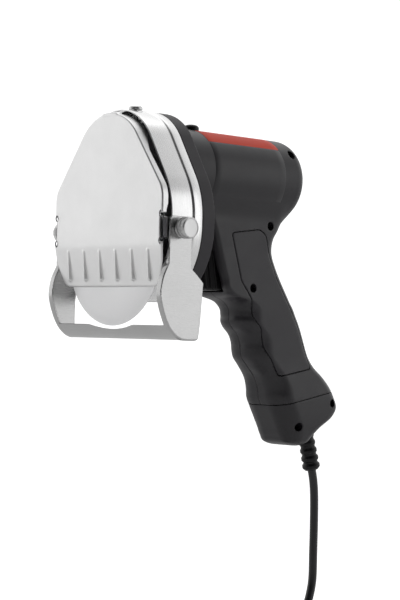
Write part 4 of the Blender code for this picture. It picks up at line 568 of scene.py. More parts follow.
def row_curve(values):
    """Values given for the grip's rows as a smooth function of height."""
    heights = np.array([row[0] for row in GRIP_ROWS][::-1])
    values = np.array(values[::-1])
    slopes = np.gradient(values, heights)

    def at(z):
        z = clip(z, heights[0], heights[-1])
        i = clip(np.searchsorted(heights, z) - 1, 0, len(heights) - 2)
        h = heights[i + 1] - heights[i]
        t = (z - heights[i]) / h
        return ((2 * t ** 3 - 3 * t * t + 1) * values[i] + (t ** 3 - 2 * t * t + t) * h * slopes[i]
                + (3 * t * t - 2 * t ** 3) * values[i + 1] + (t ** 3 - t * t) * h * slopes[i + 1])
    return at


grip_front, grip_back, grip_half, grip_front_r, grip_back_r = (
    row_curve(column) for column in (*list(zip(*GRIP_ROWS))[1:], GRIP_FRONT_R, GRIP_BACK_R))
# Two neighbours at the ends let every corner be rounded
panel_line = rounded([PANEL[-1]] + PANEL + [PANEL[0]], 2.6, 5)[1:-1]


def grip_field(x, y, z):
    """A block with rounded corners whose front, back and width follow the rows."""
    front, back, half = grip_front(z), grip_back(z), grip_half(z)
    middle, depth = (front + back) / 2, (back - front) / 2
    soft = where(y < middle, grip_front_r(z), grip_back_r(z))
    soft = minimum(soft, minimum(half, depth) * 0.98)
    a, b = abs(x) - half + soft, abs(y - middle) - depth + soft
    out = hypot(maximum(a, 0), maximum(b, 0)) + minimum(maximum(a, b), 0) - soft
    lean_front, lean_back = grip_front(z + 1) - grip_front(z - 1), grip_back(z + 1) - grip_back(z - 1)
    lean = where(y < middle, lean_front, lean_back) / 2
    facing = clip(b / (abs(a) + abs(b) + 1e-6) + 0.5, 0, 1)
    out = out / sqrt(1 + minimum(lean * lean, 2) * facing)
    return smax(smax(out, GRIP_FOOT - z, 3.0), z - GRIP_TOP, 0.5)


def barrel_field(x, y, z):
    round_out = hypot(x, z - AXIS_Z)
    a, b = round_out - (BARREL_R - BARREL_SOFT), y - (BARREL_BACK - BARREL_SOFT)
    out = hypot(maximum(a, 0), maximum(b, 0)) + minimum(maximum(a, b), 0) - BARREL_SOFT
    return smax(out, BARREL_FRONT - y, 0.6)


def body_field(x, y, z):
    return smin(barrel_field(x, y, z), grip_field(x, y, z), 9.0)


def seam_side(y, z):
    """Distance above the slanting seam of the end cap."""
    return -(y - SEAM[0]) * sin(SEAM[2]) + (z - SEAM[1]) * cos(SEAM[2])


def well_field(y, z, place, radius):
    return hypot(y - place[0], z - place[1]) - radius


def bossed(out, solid, y, z, places):
    """Screw bosses left in the hollow."""
    for place in places:
        out = minimum(out, maximum(well_field(y, z, place, BOSS_R), solid + 0.5))
    return out


def drilled(out, x, y, z, places, wells):
    """Screw holes, with a well for each head."""
    for place in places:
        out = smax(out, -well_field(y, z, place, HOLE_R), 0.1)
        if wells:
            out = smax(out, -maximum(well_field(y, z, place, WELL_R), WELL_FLOOR - x), 0.3)
    return out


def housing_field(side):
    def field(x, y, z):
        solid = body_field(x, y, z)
        over_panel = polygon_field(y, z, panel_line)
        out = smax(solid, -(solid + WALL + PANEL_WALL * (over_panel < 2.0)), 0.3)
        out = bossed(out, solid, y, z, BODY_SCREWS)
        out = smax(out, JOINT - seam_side(y, z), 0.5)
        out = maximum(out, 0.02 - side * x)
        recess = maximum(over_panel - 0.5, -(solid + RECESS))
        recess = maximum(recess, PANEL_IN - abs(x))
        out = smax(out, -recess, 0.25)
        window = box_field(x, y, z, (-13.1, 70.0, -22.1), (13.1, 111.6, 17.6), 1.0)
        out = smax(out, -window, 0.5)
        lock_hole = hypot(x, y - LOCK_Y) - LOCK_HOLE_R + 60 * (z < 80)
        out = smax(out, -lock_hole, 0.4)
        for k in range(-2, 3):
            low_z, high_z = AXIS_Z + k * VENT_PITCH - VENT_HALF, AXIS_Z + k * VENT_PITCH + VENT_HALF
            for low_x, high_x in ((-16.8, -4.2), (4.2, 16.8)):
                vent = box_field(x, y, z, (low_x, 168.0, low_z), (high_x, 190.0, high_z), 1.2)
                out = smax(out, -vent, 0.4)
        return drilled(out, x, y, z, BODY_SCREWS, side > 0)
    return field


def cap_field(x, y, z):
    solid = body_field(x, y, z)
    out = smax(solid, -(solid + WALL), 0.3)
    out = bossed(out, solid, y, z, CAP_SCREWS)
    out = smax(out, seam_side(y, z) + JOINT, 0.5)
    out = drilled(out, x, y, z, CAP_SCREWS, True)
    local_y = (y - RELIEF_Y) * cos(RELIEF_LEAN) + (z - RELIEF_Z) * sin(RELIEF_LEAN)
    return smax(out, -(hypot(x, local_y) - 6.2), 0.3)


VOXEL = 0.8
for label, side in SIDES:
    low = (-0.6 if side > 0 else -33.0, 49.6, -115.0)
    high = (33.0 if side > 0 else 0.6, 232.5, 99.5)
    piece("body_" + label, surface_net(housing_field(side), low, high, VOXEL), "body_black",
          ("housing_" + label,), smooth=34)
piece("body_foot", surface_net(cap_field, (-25.0, 156.0, -143.0), (25.0, 234.0, -92.0), VOXEL), "body_black",
      ("end_cap",), smooth=34)

# ---- head: drum, gear case, slice plate, blade, guard and knobs

TOP_R, HEAD_R, LOWER_Z, UPPER_Z, FLAT_Z, FLAT_CORNER = 40.0, 59.3, 22.0, 28.0, -30.9, 4.0
PIVOT_Y, PIVOT_Z, PIVOT_BORE = 15.7, 19.0, 2.9
CREASE_Z, PLATE_DROP, PLATE_HALF, PLATE_TOP_R = 7.0, 29.0, 59.0, 36.4
NOTCH_LOW, NOTCH_HIGH, NOTCH_IN = 9.0, 29.0, 56.4
FINE = 0.5


def mirrored(half):
    return half + [(-x, z) for x, z in reversed(half) if x > 0.001]


def egg(grow):
    """The head's outline: two circles, their tangents and a flat below with rounded corners."""
    big, small, flat, soft = HEAD_R + grow, TOP_R + grow, FLAT_Z - grow, FLAT_CORNER + grow
    lean = math.degrees(math.asin((big - small) / (AXIS_Z - UPPER_Z)))
    middle = math.sqrt((big - soft) ** 2 - (flat + soft - LOWER_Z) ** 2)
    start = math.degrees(math.atan2(flat + soft - LOWER_Z, middle))
    half = arc((middle, flat + soft), soft, -90, start, 8)[:-1]
    half += arc((0, LOWER_Z), big, start, 0, 36) + arc((0, UPPER_Z), big, 0, lean, 12)
    return mirrored(half + arc((0, AXIS_Z), small, lean, 90, 36))


EGG = egg(0)


def egg_ring(y, grow):
    return [(x, y, z) for x, z in egg(grow)]


def hole_ring(y, radius):
    """A circle about the blade axis whose points face those of the egg."""
    return [(x / math.hypot(x, z) * radius, y, z / math.hypot(x, z) * radius) for x, z in EGG]


drum_rings = [hole_ring(37.5, 11.3), hole_ring(36.3, 11.3)]
drum_rings += [egg_ring(y, grow) for y, grow in (
    (36.3, -0.9), (35.6, -0.2), (31.2, -0.2), (29.3, -0.6), (27.6, -1.2), (9.5, -1.2))]
drum_rings += [egg_ring(9.45 - 0.45 * sin(radians(a)), -0.6 - 0.6 * cos(radians(a)))
               for a in (20, 45, 70, 90, 110, 135, 160)]
drum_rings += [egg_ring(9.6, 0.0), egg_ring(28.2, 0.0)]
drum_rings += [egg_ring(28.4 + 1.8 * k / 8, ease(k / 8)) for k in range(9)]
drum_rings += [egg_ring(y, grow) for y, grow in (
    (31.0, 1.0), (37.0, 1.0), (37.3, 0.9), (37.48, 0.6), (37.5, 0.0))]
piece("drum_shell", loft(drum_rings, loop=True), "drum_steel", ("drum",), smooth=50)

CASE_POSTS = ((44.0, 18.0), (23.0, 88.0))
CASE_STEP = 0.7


def case_field(x, y, z):
    """Black ring behind the drum with its rear wall, bosses and bores."""
    plan = polygon_field(x, z, EGG, 1)
    from_blade, from_motor = hypot(x, z), hypot(x, z - AXIS_Z)
    rear = maximum((plan - 1.0 + y - 49.2) * 0.7071, maximum(plan - 1.0, y - 50.8))
    out = smax(rear, 37.8 - y, 0.35)
    out = smax(out, -maximum(plan + 2.2, y - 48.2), 0.5)
    out = smin(out, rod(from_blade, 11.0, y, 52.0, 3.2), 1.2)
    out = minimum(out, rod(from_motor, 13.4, y, 52.5, 3.0))
    for high_x, high_z in CASE_POSTS:
        post = hypot(abs(x) - high_x, z - high_z)
        out = minimum(out, rod(post, 5.0, y, 43.3, 5.2))
        out = smax(out, -maximum(post - 2.1, y - 47.0), 0.1)
    out = smax(out, -rod(from_motor, 11.3, y, 51.0, 4.4), 0.1)
    out = smax(out, -(from_motor - 6.0), 0.1)
    out = smax(out, -maximum(from_blade - 8.3, y - 53.0), 0.1)
    return smax(out, -maximum(hypot(x, z - 33.0) - 2.8, y - 50.0), 0.1)


piece("case_ring", surface_net(case_field, (-61.5, 36.9, -33.2), (61.5, 56.5, 108.0), CASE_STEP),
      "case_black", ("gear_case",), smooth=34)


def plate_edge():
    """The slice plate's outline: tapering lower edge, round shoulders, straight flanks, round top."""
    lower = [(PLATE_HALF * wide, CREASE_Z - PLATE_DROP * down) for down, wide in (
        (1.0, 0.80), (0.965, 0.85), (0.88, 0.888), (0.66, 0.937), (0.37, 0.98), (0.0, 1.0))]
    half = [lower[0]] + smooth_line(lower, 30)[1:]
    shoulder, soft = (PLATE_HALF - 20.0, 39.8), 20.0
    across, rise = shoulder[0], shoulder[1] - AXIS_Z
    lean = math.degrees(math.acos((PLATE_TOP_R - soft) / math.hypot(across, rise)) + math.atan2(rise, across))
    half += arc(shoulder, soft, 0, lean, 14)
    half += arc((0, AXIS_Z), PLATE_TOP_R, lean, 90, 30)
    return mirrored(half)


PLATE = plate_edge()
EAR = [(0.6, 10.5)] + arc((PIVOT_Y, PIVOT_Z), 7.5, -90, 90, 24) + [(0.6, 27.5)]
SHEET, EAR_X, TONGUE_HALF = 1.2, 55.5, 7.5
# Slopes of the bent lower part and of its ribs, and how far off the middle the ribs stand
BEND, RIB_LEAN, RIBS = tan(radians(9.5)), tan(radians(4.05)), (8.75, 26.25, 43.75)
# How far back the rim reaches at each height
RIM_HEIGHTS, RIM_DEPTHS = (31.0, 36.0, 74.0, 86.0, 102.0), (4.2, 5.6, 5.0, 9.5, 12.0)


def plate_field(x, y, z):
    """Pressed sheet with embossed ribs, rolled rim, notches, pivot ears and the slotted tongue."""
    t = CREASE_Z - z
    below = (t + sqrt(t * t + 5.0)) / 2
    face = -(y - BEND * below) * 0.99
    near = abs(x)
    dx = minimum(minimum(abs(near - RIBS[0]), abs(near - RIBS[1])), abs(near - RIBS[2]))
    rib_y = 1.69 + RIB_LEAN * maximum(t, 0)
    dz = z - clip(z, -16.5, 3.0)
    rib = sqrt(dx * dx + (y - rib_y) ** 2 + dz * dz) - 1.6
    solid = smin(face, rib, 1.0)
    plan = polygon_field(x, z, PLATE, 1)
    skin = smax(solid, plan, 1.0)
    shell = maximum(skin, -(skin + SHEET))
    limit = interp(z, RIM_HEIGHTS, RIM_DEPTHS)
    out = smax(shell, where(z > NOTCH_HIGH, y - limit, -(solid + SHEET)), 0.35)
    out = smax(out, -box_field(near, y, z, (NOTCH_IN, -9.0, NOTCH_LOW), (90.0, 9.0, NOTCH_HIGH), 1.1), 0.3)
    ear = smax(abs(near - EAR_X) - SHEET / 2, polygon_field(y, z, EAR), 0.4)
    out = smin(out, ear, 0.9)
    out = smax(out, -where(near > 50, hypot(y - PIVOT_Y, z - PIVOT_Z) - PIVOT_BORE, 9.0), 0.25)
    strip = where(y > 22.4, hypot(x, y - 22.4) - TONGUE_HALF, near - TONGUE_HALF)
    strip = maximum(strip, 0.6 - y)
    climb = clip((y - 1.0) / 8.0, 0, 1)
    lift = abs(z - 101.75 - 2.1 * climb * climb * (3 - 2 * climb)) - SHEET / 2
    out = smin(out, smax(strip, lift, 0.45), 1.6)
    slot = where(z > 96, hypot(x, y - clip(y, 19.3, 24.9)) - 2.7, 9.0)
    return smax(out, -slot, 0.3)


piece("plate_pressing", surface_net(plate_field, (-60.0, -2.0, -23.4), (60.0, 31.0, 105.2), FINE),
      "plate_steel", ("slice_plate",), "plate")


def spring_line(side):
    """A close-wound tension spring whose end loops hook through the sheet above and below the notch."""
    x, y, middle, pitch, turns, radius = side * 58.5, 3.6, 19.0, 0.86, 16, 1.4
    half = pitch * turns / 2
    coil = []
    for i in range(turns * 14 + 1):
        a = 2 * pi * i / 14
        coil.append((x - side * radius * cos(a), y + radius * sin(a), middle - half + pitch * i / 14))
    ends = []
    for way in (-1, 1):
        hook_y, hook_z, hook_r = 1.2, middle + way * (half + 2.6), 2.0
        hook = [(x - side * 1.2, y - 0.3, middle + way * (half + 0.5))]
        for i in range(15):
            a = radians(40 + 285 * i / 14)
            hook.append((x - side * (1.3 + 0.25 * i / 14), hook_y + hook_r * cos(a),
                         hook_z + way * hook_r * sin(a) * 1.25))
        ends.append(hook)
    return ends[0][::-1] + coil[1:-1] + ends[1]


for label, side in SIDES:
    mesh = tube(smooth_line(spring_line(side), 420), 0.42, 8)
    piece("tension_spring_" + label, mesh, "spring_wire", ("plate_spring_" + label,), "plate", 60)

# Blade with its ground edge, and the nut that holds it
blade_profile = [(4.8, 8.4), (44.5, 8.4), (49.85, 7.5), (50.0, 7.36), (49.9, 7.3), (46.0, 7.16), (45.4, 7.1),
                 (22.0, 7.1), (21.4, 7.16), (20.8, 7.1), (4.8, 7.1)]
blade_mesh = turned(blade_profile, "Y", sides=160, loop=True)
piece("blade_disc", blade_mesh, "blade_steel", ("blade",), "blade_set", 25)


def nut_field(x, y, z):
    round_out = hypot(x, z)
    out = smax(round_out - 11.5, abs(y - 6.0) - 0.8, 0.6)
    out = smax(out, 4.8 - round_out, 0.2)
    return smax(out, 1.6 - hypot(abs(x) - 7.5, z), 0.2)


piece("retaining_nut", surface_net(nut_field, (-12.0, 4.9, -12.0), (12.0, 7.1, 12.0), 0.3), "screw_steel",
      ("blade_nut",), "blade_set", 34)

# Thumb knobs: straight knurl on two bands, a groove between them, collar and stud
KNURLS, KNURL_DEPTH = 44, 0.42
# Rows of the knob: place along the pivot line, radius, share of the knurl's depth
KNOB_ROWS = (
    (72.0, 0.01, 0), (72.0, 5.6, 0), (72.05, 6.2, 0), (72.2, 6.5, 0), (72.2, 6.7, 0), (71.95, 7.05, 0),
    (71.5, 7.4, 0.3), (71.2, 7.6, 1), (68.9, 7.6, 1), (68.5, 7.4, 0.3), (68.3, 6.9, 0), (67.8, 6.9, 0),
    (67.6, 7.4, 0.3), (67.3, 7.6, 1), (65.2, 7.6, 1), (64.8, 7.3, 0.3), (64.4, 6.4, 0), (63.9, 6.3, 0),
    (63.6, 6.4, 0), (63.55, 6.7, 0), (63.35, 6.9, 0), (62.65, 6.9, 0), (62.4, 6.7, 0), (62.4, 2.6, 0),
    (54.2, 2.6, 0), (54.0, 2.3, 0), (54.0, 0.01, 0))


def knob_mesh():
    rings = []
    for along, radius, cut in KNOB_ROWS:
        ring = []
        for i in range(KNURLS * 6):
            a = 2 * pi * i / (KNURLS * 6)
            wave = (0.5 + 0.5 * cos(KNURLS * a)) ** 0.7
            r = radius - KNURL_DEPTH * cut * (1 - wave)
            ring.append((along, PIVOT_Y + r * cos(a), PIVOT_Z + r * sin(a)))
        rings.append(ring)
    return loft(rings)


for label, side in SIDES:
    knob = knob_mesh()
    if side < 0:
        knob.transform(Matrix.Diagonal((-1, 1, 1, 1)))
        knob.flip_normals()
    piece("knurled_knob_" + label, knob, "knob_steel", ("thumb_knob_" + label,), "knob_" + label, 32)


def clamp_field(x, y, z):
    """Low slotted screw that clamps the tongue through the drum's roof."""
    out_r = hypot(x, y - 25.0)
    head = smax(smax(out_r - 5.0, abs(z - 108.65) - 1.35, 0.3), (out_r + z - 114.1) * 0.7071, 0.3)
    head = minimum(head, rod(out_r, 2.0, z, 102.5, 5.5))
    return smax(head, -box_field(x, y, z, (-9.0, 24.5, 109.1), (9.0, 25.5, 112.0), 0.1), 0.15)


piece("clamp_knob", surface_net(clamp_field, (-5.6, 19.4, 96.4), (5.6, 30.6, 110.6), 0.25), "knob_steel",
      ("clamp_screw",), "clamp", 34)

# Swinging guard: straps, paddle and curved bar pressed from one sheet
REACH, BOTTOM, GUARD_HALF, GUARD_SHEET = 38.4, 59.8, 62.1, 1.5


def guard_points(*shares):
    """Points (Y, Z) of the guard's side view from shares of its reach and depth."""
    return [(y * REACH, z * BOTTOM) for y, z in shares]


GUARD_FRONT = guard_points(
    (0.115, -0.10), (0.0, -0.245), (-0.05, -0.36), (-0.065, -0.475), (-0.02, -0.60), (0.04, -0.70),
    (0.13, -0.82), (0.24, -0.905), (0.37, -0.965), (0.49, -0.993))
GUARD_PADDLE = guard_points(
    (0.62, -1.0), (0.80, -1.0), (0.865, -0.985), (0.895, -0.95), (0.93, -0.80), (0.96, -0.58), (0.99, -0.35),
    (0.985, -0.31), (0.83, -0.22), (0.70, -0.15), (0.684, -0.10))
GUARD_PLAIN = guard_points((0.60, -0.94), (0.585, -0.80), (0.59, -0.55), (0.64, -0.30), (0.684, -0.10))
STRAP_TOP = arc((PIVOT_Y + 8.0, PIVOT_Z + 5.8), 2.5, 0, 90, 6)
STRAP_TOP += arc((PIVOT_Y - 8.0, PIVOT_Z + 5.8), 2.5, 90, 180, 6)
guard_front = smooth_line(GUARD_FRONT, 40)
guard_right = STRAP_TOP + guard_front + smooth_line(GUARD_PADDLE, 60)
guard_left = STRAP_TOP + guard_front + smooth_line(GUARD_PLAIN, 24)
GUARD_HULL = [(-9.0, 40.0)] + guard_front + [(23.8, -BOTTOM), (60.0, -BOTTOM), (60.0, 60.0)]
BAR_TOP = GUARD_FRONT[6][1]
# The bar's top edge sags by this much over this half width
SAG, SAG_HALF = 3.2, 24.0
SAG_R = (SAG_HALF ** 2 + SAG ** 2) / (2 * SAG)


def guard_field(x, y, z):
    near = abs(x)
    hull = polygon_field(y, z, GUARD_HULL)
    bend = 0.5 + 0.9 * clip((-44.0 - z) / 5.0, 0, 1)
    block = smax(near - GUARD_HALF, hull, bend)
    shell = maximum(block, -(block + GUARD_SHEET))
    strap = where(x > 0, polygon_field(y, z, guard_right), polygon_field(y, z, guard_left))
    sides = smax(maximum(shell, 57.0 - near), strap, 0.6)
    top = smax(z - BAR_TOP, SAG_R - hypot(x, z - (BAR_TOP - SAG + SAG_R)), 0.5)
    bar = smax(shell, maximum(top, y - 18.8), 0.5)
    out = smin(maximum(sides, 57.5 - near), maximum(bar, near - 61.0), 0.3)
    return smax(out, PIVOT_BORE - hypot(y - PIVOT_Y, z - PIVOT_Z), 0.2)


piece("guard_pressing", surface_net(guard_field, (-62.8, -3.2, -60.4), (62.8, 38.8, 28.0), FINE),
      "guard_steel", ("guard_bracket",), "guard")

# ---- pieces on the pistol body: panels, label, trigger, lock button and screws


def panel_field(side):
    def field(x, y, z):
        solid = body_field(x, y, z)
        out = smax(solid - 0.12, polygon_field(y, z, panel_line), 0.7)
        out = smax(out, -(solid + PANEL_THICK), 0.2)
        if side > 0:
            out = smax(out, -well_field(y, z, BODY_SCREWS[0], WELL_R), 0.3)
        return maximum(out, PANEL_IN - side * x)
    return field


for label, side in SIDES:
    low_x, high_x = sorted((side * PANEL_IN, side * 21.0))
    mesh = surface_net(panel_field(side), (low_x, 104.0, -87.0), (high_x, 200.0, 28.0), VOXEL)
    piece("side_panel_" + label, mesh, "panel_black", ("grip_panel_" + label,))

LABEL_THICK, LABEL_FRONT, LABEL_BACK, LABEL_SOFT = 0.12, 77.0, 151.5, 2.0


def label_patch(start_deg, end_deg, low_soft):
    """A thin sheet on the barrel, its plan's corners rounded, from its angles about the barrel's top."""
    radius = BARREL_R + 0.03
    wide = radians(end_deg - start_deg) * radius
    tall = LABEL_BACK - LABEL_FRONT
    plan = arc((LABEL_SOFT, LABEL_SOFT), LABEL_SOFT, 180, 270, 5)
    plan += arc((tall - LABEL_SOFT, LABEL_SOFT), LABEL_SOFT, 270, 360, 5)
    plan += arc((tall - low_soft, wide - low_soft), low_soft, 0, 90, 5)
    plan += arc((low_soft, wide - low_soft), low_soft, 90, 180, 5)
    points = []
    for rise, inset in ((0.0, 0.0), (LABEL_THICK * 0.7, 0.0), (LABEL_THICK, 0.06)):
        for k in range(41):
            v = inset + (wide - 2 * inset) * k / 40
            spans = [u0 + (u1 - u0) * (v - v0) / (v1 - v0)
                     for (u0, v0), (u1, v1) in zip(plan, plan[1:] + plan[:1])
                     if min(v0, v1) <= v <= max(v0, v1) and v0 != v1]
            first, last = min(spans) + inset, max(spans) - inset
            a = radians(start_deg) + v / radius
            points += [((radius + rise) * sin(a), LABEL_FRONT + first + (last - first) * i / 12,
                        AXIS_Z + (radius + rise) * cos(a)) for i in range(13)]

    def at(level, k, i):
        return (level * 41 + k) * 13 + i

    faces = [(at(level, k, i), at(level, k, i + 1), at(level, k + 1, i + 1), at(level, k + 1, i))
             for level in (0, 2) for k in range(40) for i in range(12)]
    rim = [(0, i) for i in range(12)] + [(k, 12) for k in range(40)]
    rim += [(40, i) for i in range(12, 0, -1)] + [(k, 0) for k in range(40, 0, -1)]
    for a, b in zip(rim, rim[1:] + rim[:1]):
        faces += [(at(level, *a), at(level, *b), at(level + 1, *b), at(level + 1, *a)) for level in (0, 1)]
    return outward(mesh_of(points, faces))


piece("label_band", label_patch(11.5, 46.3, 0.05), "label_red", (), smooth=50)
piece("label_field", label_patch(46.5, 128.0, LABEL_SOFT), "label_black", (), smooth=50)


def return_spring(name, radius, low, high, foot, place):
    """A key's spring of four turns."""
    line = [place(radius * cos(a), radius * sin(a), low + (high - low) * a / (8 * pi))
            for a in (2 * pi * i / 18 for i in range(4 * 18 + 1))]
    label = name.replace("_spring", "_return_spring")
    spring = piece(label, tube(line, 0.4, 8), "spring_wire", (name,), smooth=60)
    axis = Vector(place(0, 0, 1)) - Vector(place(0, 0, 0))
    tuple(row_point(*place(0, 0, foot)))
    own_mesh(spring)


return_spring("trigger_spring", 4.0, 106.75, 114.8, 115.4,
              lambda a, b, c: (a, c, 0.5 + b))
return_spring("lock_spring", 3.1, 84.2, 92.95, 83.5,
              lambda a, b, c: (a, 80.53 + b, c))

TRIGGER_FRONT, TRIGGER_DEPTH, TRIGGER_R = grip_point(0.356, 0)[0], 22.0, 11.6
TRIGGER_STEP = 0.4


def trigger_field(x, y, z):
    """Ribbed finger key, straight behind and round in front, leaning back towards both ends."""
    back_off = interp(z, (-21.5, -20.0, 11.0, 15.5, 17.0), (6.0, 5.4, 0.0, 1.2, 3.0))
    middle = TRIGGER_FRONT + back_off + 12.5
    away = hypot(x, y - middle)
    turn = np.degrees(np.arctan2(x, middle - y))
    step = abs(turn / 20.0 - np.round(turn / 20.0)) * 20.0
    rib = where(abs(turn) < 88.0, 0.9 * clip(1 - (step / 5.2) ** 2, 0, 1) ** 0.8, 0)
    out = where(y < middle, away - TRIGGER_R - rib, abs(x) - TRIGGER_R)
    out = smax(out, y - (TRIGGER_FRONT + TRIGGER_DEPTH), 0.6)
    out = smax(out, abs(z + 2.25) - 19.25, 2.2)
    return minimum(out, rod(hypot(x, z - 0.5), 2.2, y, 110.0, 12.0)) * 0.9


piece("finger_key", surface_net(trigger_field, (-13.4, 83.0, -22.6), (13.4, 123.0, 18.0), TRIGGER_STEP),
      "trigger_black", ("trigger",), "trigger_key", 34)

lock_profile = [(0, 102.4), (1.5, 102.36), (3.0, 102.18), (4.2, 101.8), (5.1, 101.25), (5.7, 100.6),
                (6.0, 99.8), (6.0, 93.9), (5.8, 93.7), (2.0, 93.7), (2.0, 76.7), (1.8, 76.5), (0, 76.5)]
lock_mesh = turned(lock_profile, "Z", (0, LOCK_Y, 0))
piece("lock_cap", lock_mesh, "trigger_black", ("lock_button",), "lock_key", 34)


def screw_field(x, y, z):
    """Pan-head screw with a cross recess, along X."""
    out_r = hypot(y, z)
    head = smax(out_r - 2.9, abs(x - 14.0) - 1.0, 0.7)
    cross = minimum(maximum(abs(y) - 0.45, abs(z) - 1.75), maximum(abs(z) - 0.45, abs(y) - 1.75))
    head = smax(head, -maximum(cross, 13.6 - x), 0.12)
    return minimum(head, rod(out_r, 1.7, x, 0.5, 12.6))


for group, places in (("housing_screw_", BODY_SCREWS), ("cap_screw_", CAP_SCREWS)):
    for number, (y, z) in enumerate(places, 1):
        screw = surface_net(screw_field, (-12.6, -3.3, -3.3), (15.5, 3.3, 3.3), 0.3)
        cross_turn = Matrix.Rotation(radians(25 + 40 * number), 4, "X")
        screw.transform(Matrix.Translation((0, y, z)) @ cross_turn)
        label = group + str(number)
        piece(label + "_fine", screw, "screw_dark", (label,), smooth=30)

# ---- mains lead, coil and plug

LEAD = 6.7
LEAD_FLOOR = -312.0
COIL_RADIUS, COIL_PITCH, COIL_LIFT = 46.0, 7.3, 1.2
COIL_LOWER, COIL_UPPER = 2.75, 3.8
COIL_X, COIL_Y = 0.0, 132.0
relief_place = Matrix.Translation((0, *grip_point(0.905, 0.935))) @ Matrix.Rotation(RELIEF_LEAN, 4, "X")


def coil_points(per_turn):
    """A spiral inwards on the floor, then outwards on top of it, and down to the floor again."""
    centre = Vector((COIL_X - COIL_RADIUS, COIL_Y, 0))
    low = LEAD_FLOOR + COIL_LIFT + LEAD / 2
    high = low + LEAD + COIL_LIFT / 2
    points = [Vector((COIL_X, COIL_Y + LEAD, low))]
    total = COIL_LOWER + COIL_UPPER
    for i in range(round(total * per_turn) + 1):
        spun = i / per_turn
        radius = COIL_RADIUS - COIL_PITCH * min(spun, COIL_LOWER) + COIL_PITCH * max(spun - COIL_LOWER, 0)
        climb = min(max((spun - COIL_LOWER + 0.25) / 0.5, 0), 1)
        drop = min(max((spun - total + 0.48) / 0.44, 0), 1)
        a = -2 * pi * spun
        points.append(centre + Vector((radius * cos(a), radius * sin(a),
                                       low + (high - low) * (ease(climb) - ease(drop)))))
    along = (points[-1] - points[-2]).normalized()
    return points + [points[-1] + along * LEAD], centre, along


coil, coil_centre, coil_along = coil_points(40)
lead_start = relief_place @ Vector((0, 0, -32.3))
foot_y, foot_z = COIL_Y + LEAD, coil[0].z
hang_route = [lead_start + Vector(step) for step in (
    (0, 0, 0), (0, 2.2, -9), (0, 3.6, -21), (0, 4.1, -40), (0, 4, -66), (0, 3.2, -92))]
hang_route += [Vector((0, lead_start.y - back, foot_z + rise)) for back, rise in (
    (4, 33), (15, 13.5), (33, 3.4), (54, 0.6))]
hang_route += [Vector((0, foot_y + 12, foot_z)), Vector((0, foot_y, foot_z))]
lead_path = [Vector(p) for p in smooth_line(hang_route, 150)[:-1]] + coil
lead = piece("lead_free", tube(lead_path, LEAD / 2, 20), "lead_black", ("mains_lead", "lead_coil"))

# Ribbed sleeve where the lead leaves the end cap
sleeve_profile = [(0, 6.2), (7.6, 6.2), (7.6, 3.4), (5.9, 3.0), (5.9, -0.4)]
for ring in range(5):
    top, wide = -ring * 6.4 - 0.6, 6.4 + 0.18 * ring
    sleeve_profile += [(5.7, top), (wide - 0.5, top - 1.1), (wide, top - 1.7), (wide, top - 3.9),
                       (wide - 0.5, top - 4.5), (5.7, top - 5.5)]
sleeve_profile += [(5.6, -32.0), (4.4, -32.0), (4.2, -31.2), (0, -31.2)]
sleeve_mesh = turned(rounded(sleeve_profile, 0.5, 2), "Z", sides=56)
sleeve_mesh.transform(relief_place)
sleeve = piece("relief_sleeve", sleeve_mesh, "rubber_black", ("strain_relief",))

# Strap round the bundle, on the coil's left side, with its thickness and corners across its width
left_x = -(COIL_RADIUS + COIL_PITCH * (COIL_UPPER - COIL_LOWER) + LEAD / 2 + 0.5)
right_x = -(COIL_RADIUS - COIL_PITCH * COIL_LOWER - LEAD / 2 - 0.5)
tie_low = LEAD_FLOOR + 0.8
tie_high = LEAD_FLOOR + COIL_LIFT + LEAD * 2 + COIL_LIFT / 2 + 0.5
tie_rings = []
for y, thick, soft in (
        (-4.5, 0.45, 1.2), (-4.2, 0.8, 1.2), (-1.5, 0.8, 1.2), (-1.2, 0.65, 1.2), (1.2, 0.65, 1.2),
        (1.5, 0.8, 1.2), (4.2, 0.8, 1.2), (4.5, 0.45, 1.2), (4.5, 0, 0.6), (-4.5, 0, 0.6)):
    ring = soft_box(left_x - thick, right_x + thick, tie_low - thick, tie_high + thick, soft, 4)
    tie_rings.append([(coil_centre.x + x, coil_centre.y + y, z) for x, z in ring])
tie = piece("coil_strap", loft(tie_rings, loop=True), "rubber_black", ("coil_tie",))

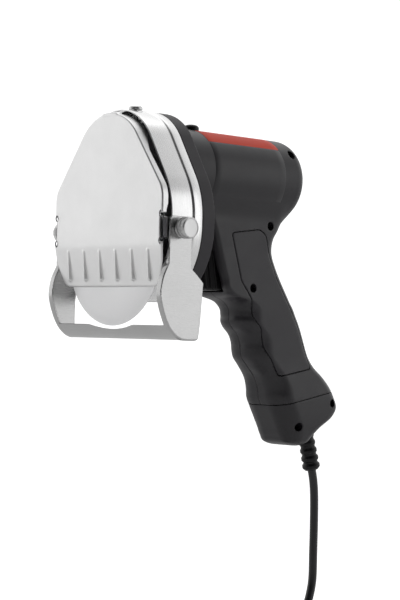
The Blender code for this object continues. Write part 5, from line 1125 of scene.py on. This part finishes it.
# Flat two-pin plug, drawn along local Y from the lead's end
PLUG_LENGTH, PLUG_WIDE, PLUG_TALL = 36.0, 17.0, 6.8
plug_turn = math.atan2(coil_along.y, coil_along.x) - pi / 2
plug_place = Matrix.Translation((coil[-1].x, coil[-1].y, 0)) @ Matrix.Rotation(plug_turn, 4, "Z")
lead_z, plug_z = coil[-1].z, LEAD_FLOOR + PLUG_TALL + 0.3


def plug_ring(y, wide, tall, z):
    ring = soft_box(-wide, wide, -tall, tall, min(wide, tall) * 0.82, 7)
    return [(x, y, z + dz) for x, dz in ring]


plug_rings = [plug_ring(0.3, 3.5, 3.5, lead_z)]
for i in range(3):
    for step, wide, tall in ((0, 4.2, 4.2), (1.4, 4.4, 4.3), (1.6, 3.8, 3.7), (2.2, 3.8, 3.7)):
        plug_rings.append(plug_ring(1.2 + 2.4 * i + step, wide + 0.3 * i, tall + 0.2 * i, lead_z))
for share in (0.1, 0.3, 0.5, 0.7, 0.9, 1.0):
    wide, tall = 5.0 + (PLUG_WIDE - 5.0) * ease(share), 4.8 + (PLUG_TALL - 4.8) * ease(share)
    plug_rings.append(plug_ring(8.6 + 10 * share, wide, tall, lead_z + (plug_z - lead_z) * ease(share)))
for before_end, less in ((8.2, 0), (7.9, 0.5), (6.9, 0.5), (6.6, 0), (1.2, 0), (0.35, 0.35), (0, 1.2)):
    plug_rings.append(plug_ring(PLUG_LENGTH - before_end, PLUG_WIDE - less, PLUG_TALL - less, plug_z))
plug_mesh = loft(plug_rings)
plug_mesh.transform(plug_place)
plug = piece("plug_shell", plug_mesh, "rubber_black", ("plug_body",))
pin_profile = rounded([(radius, PLUG_LENGTH + out) for radius, out in (
    (0, 19), (2.0, 19), (2.0, 10.2), (1.86, 10), (1.86, -0.5), (0, -0.5))], 1.2, 5)
pin_mesh = joined([turned(pin_profile, "Y", (x, 0, plug_z), 32) for x in (-9.3, 9.3)])
pin_mesh.transform(plug_place)
pin_pair = piece("plug_pin_pair", pin_mesh, "screw_steel", ("plug_pins",))
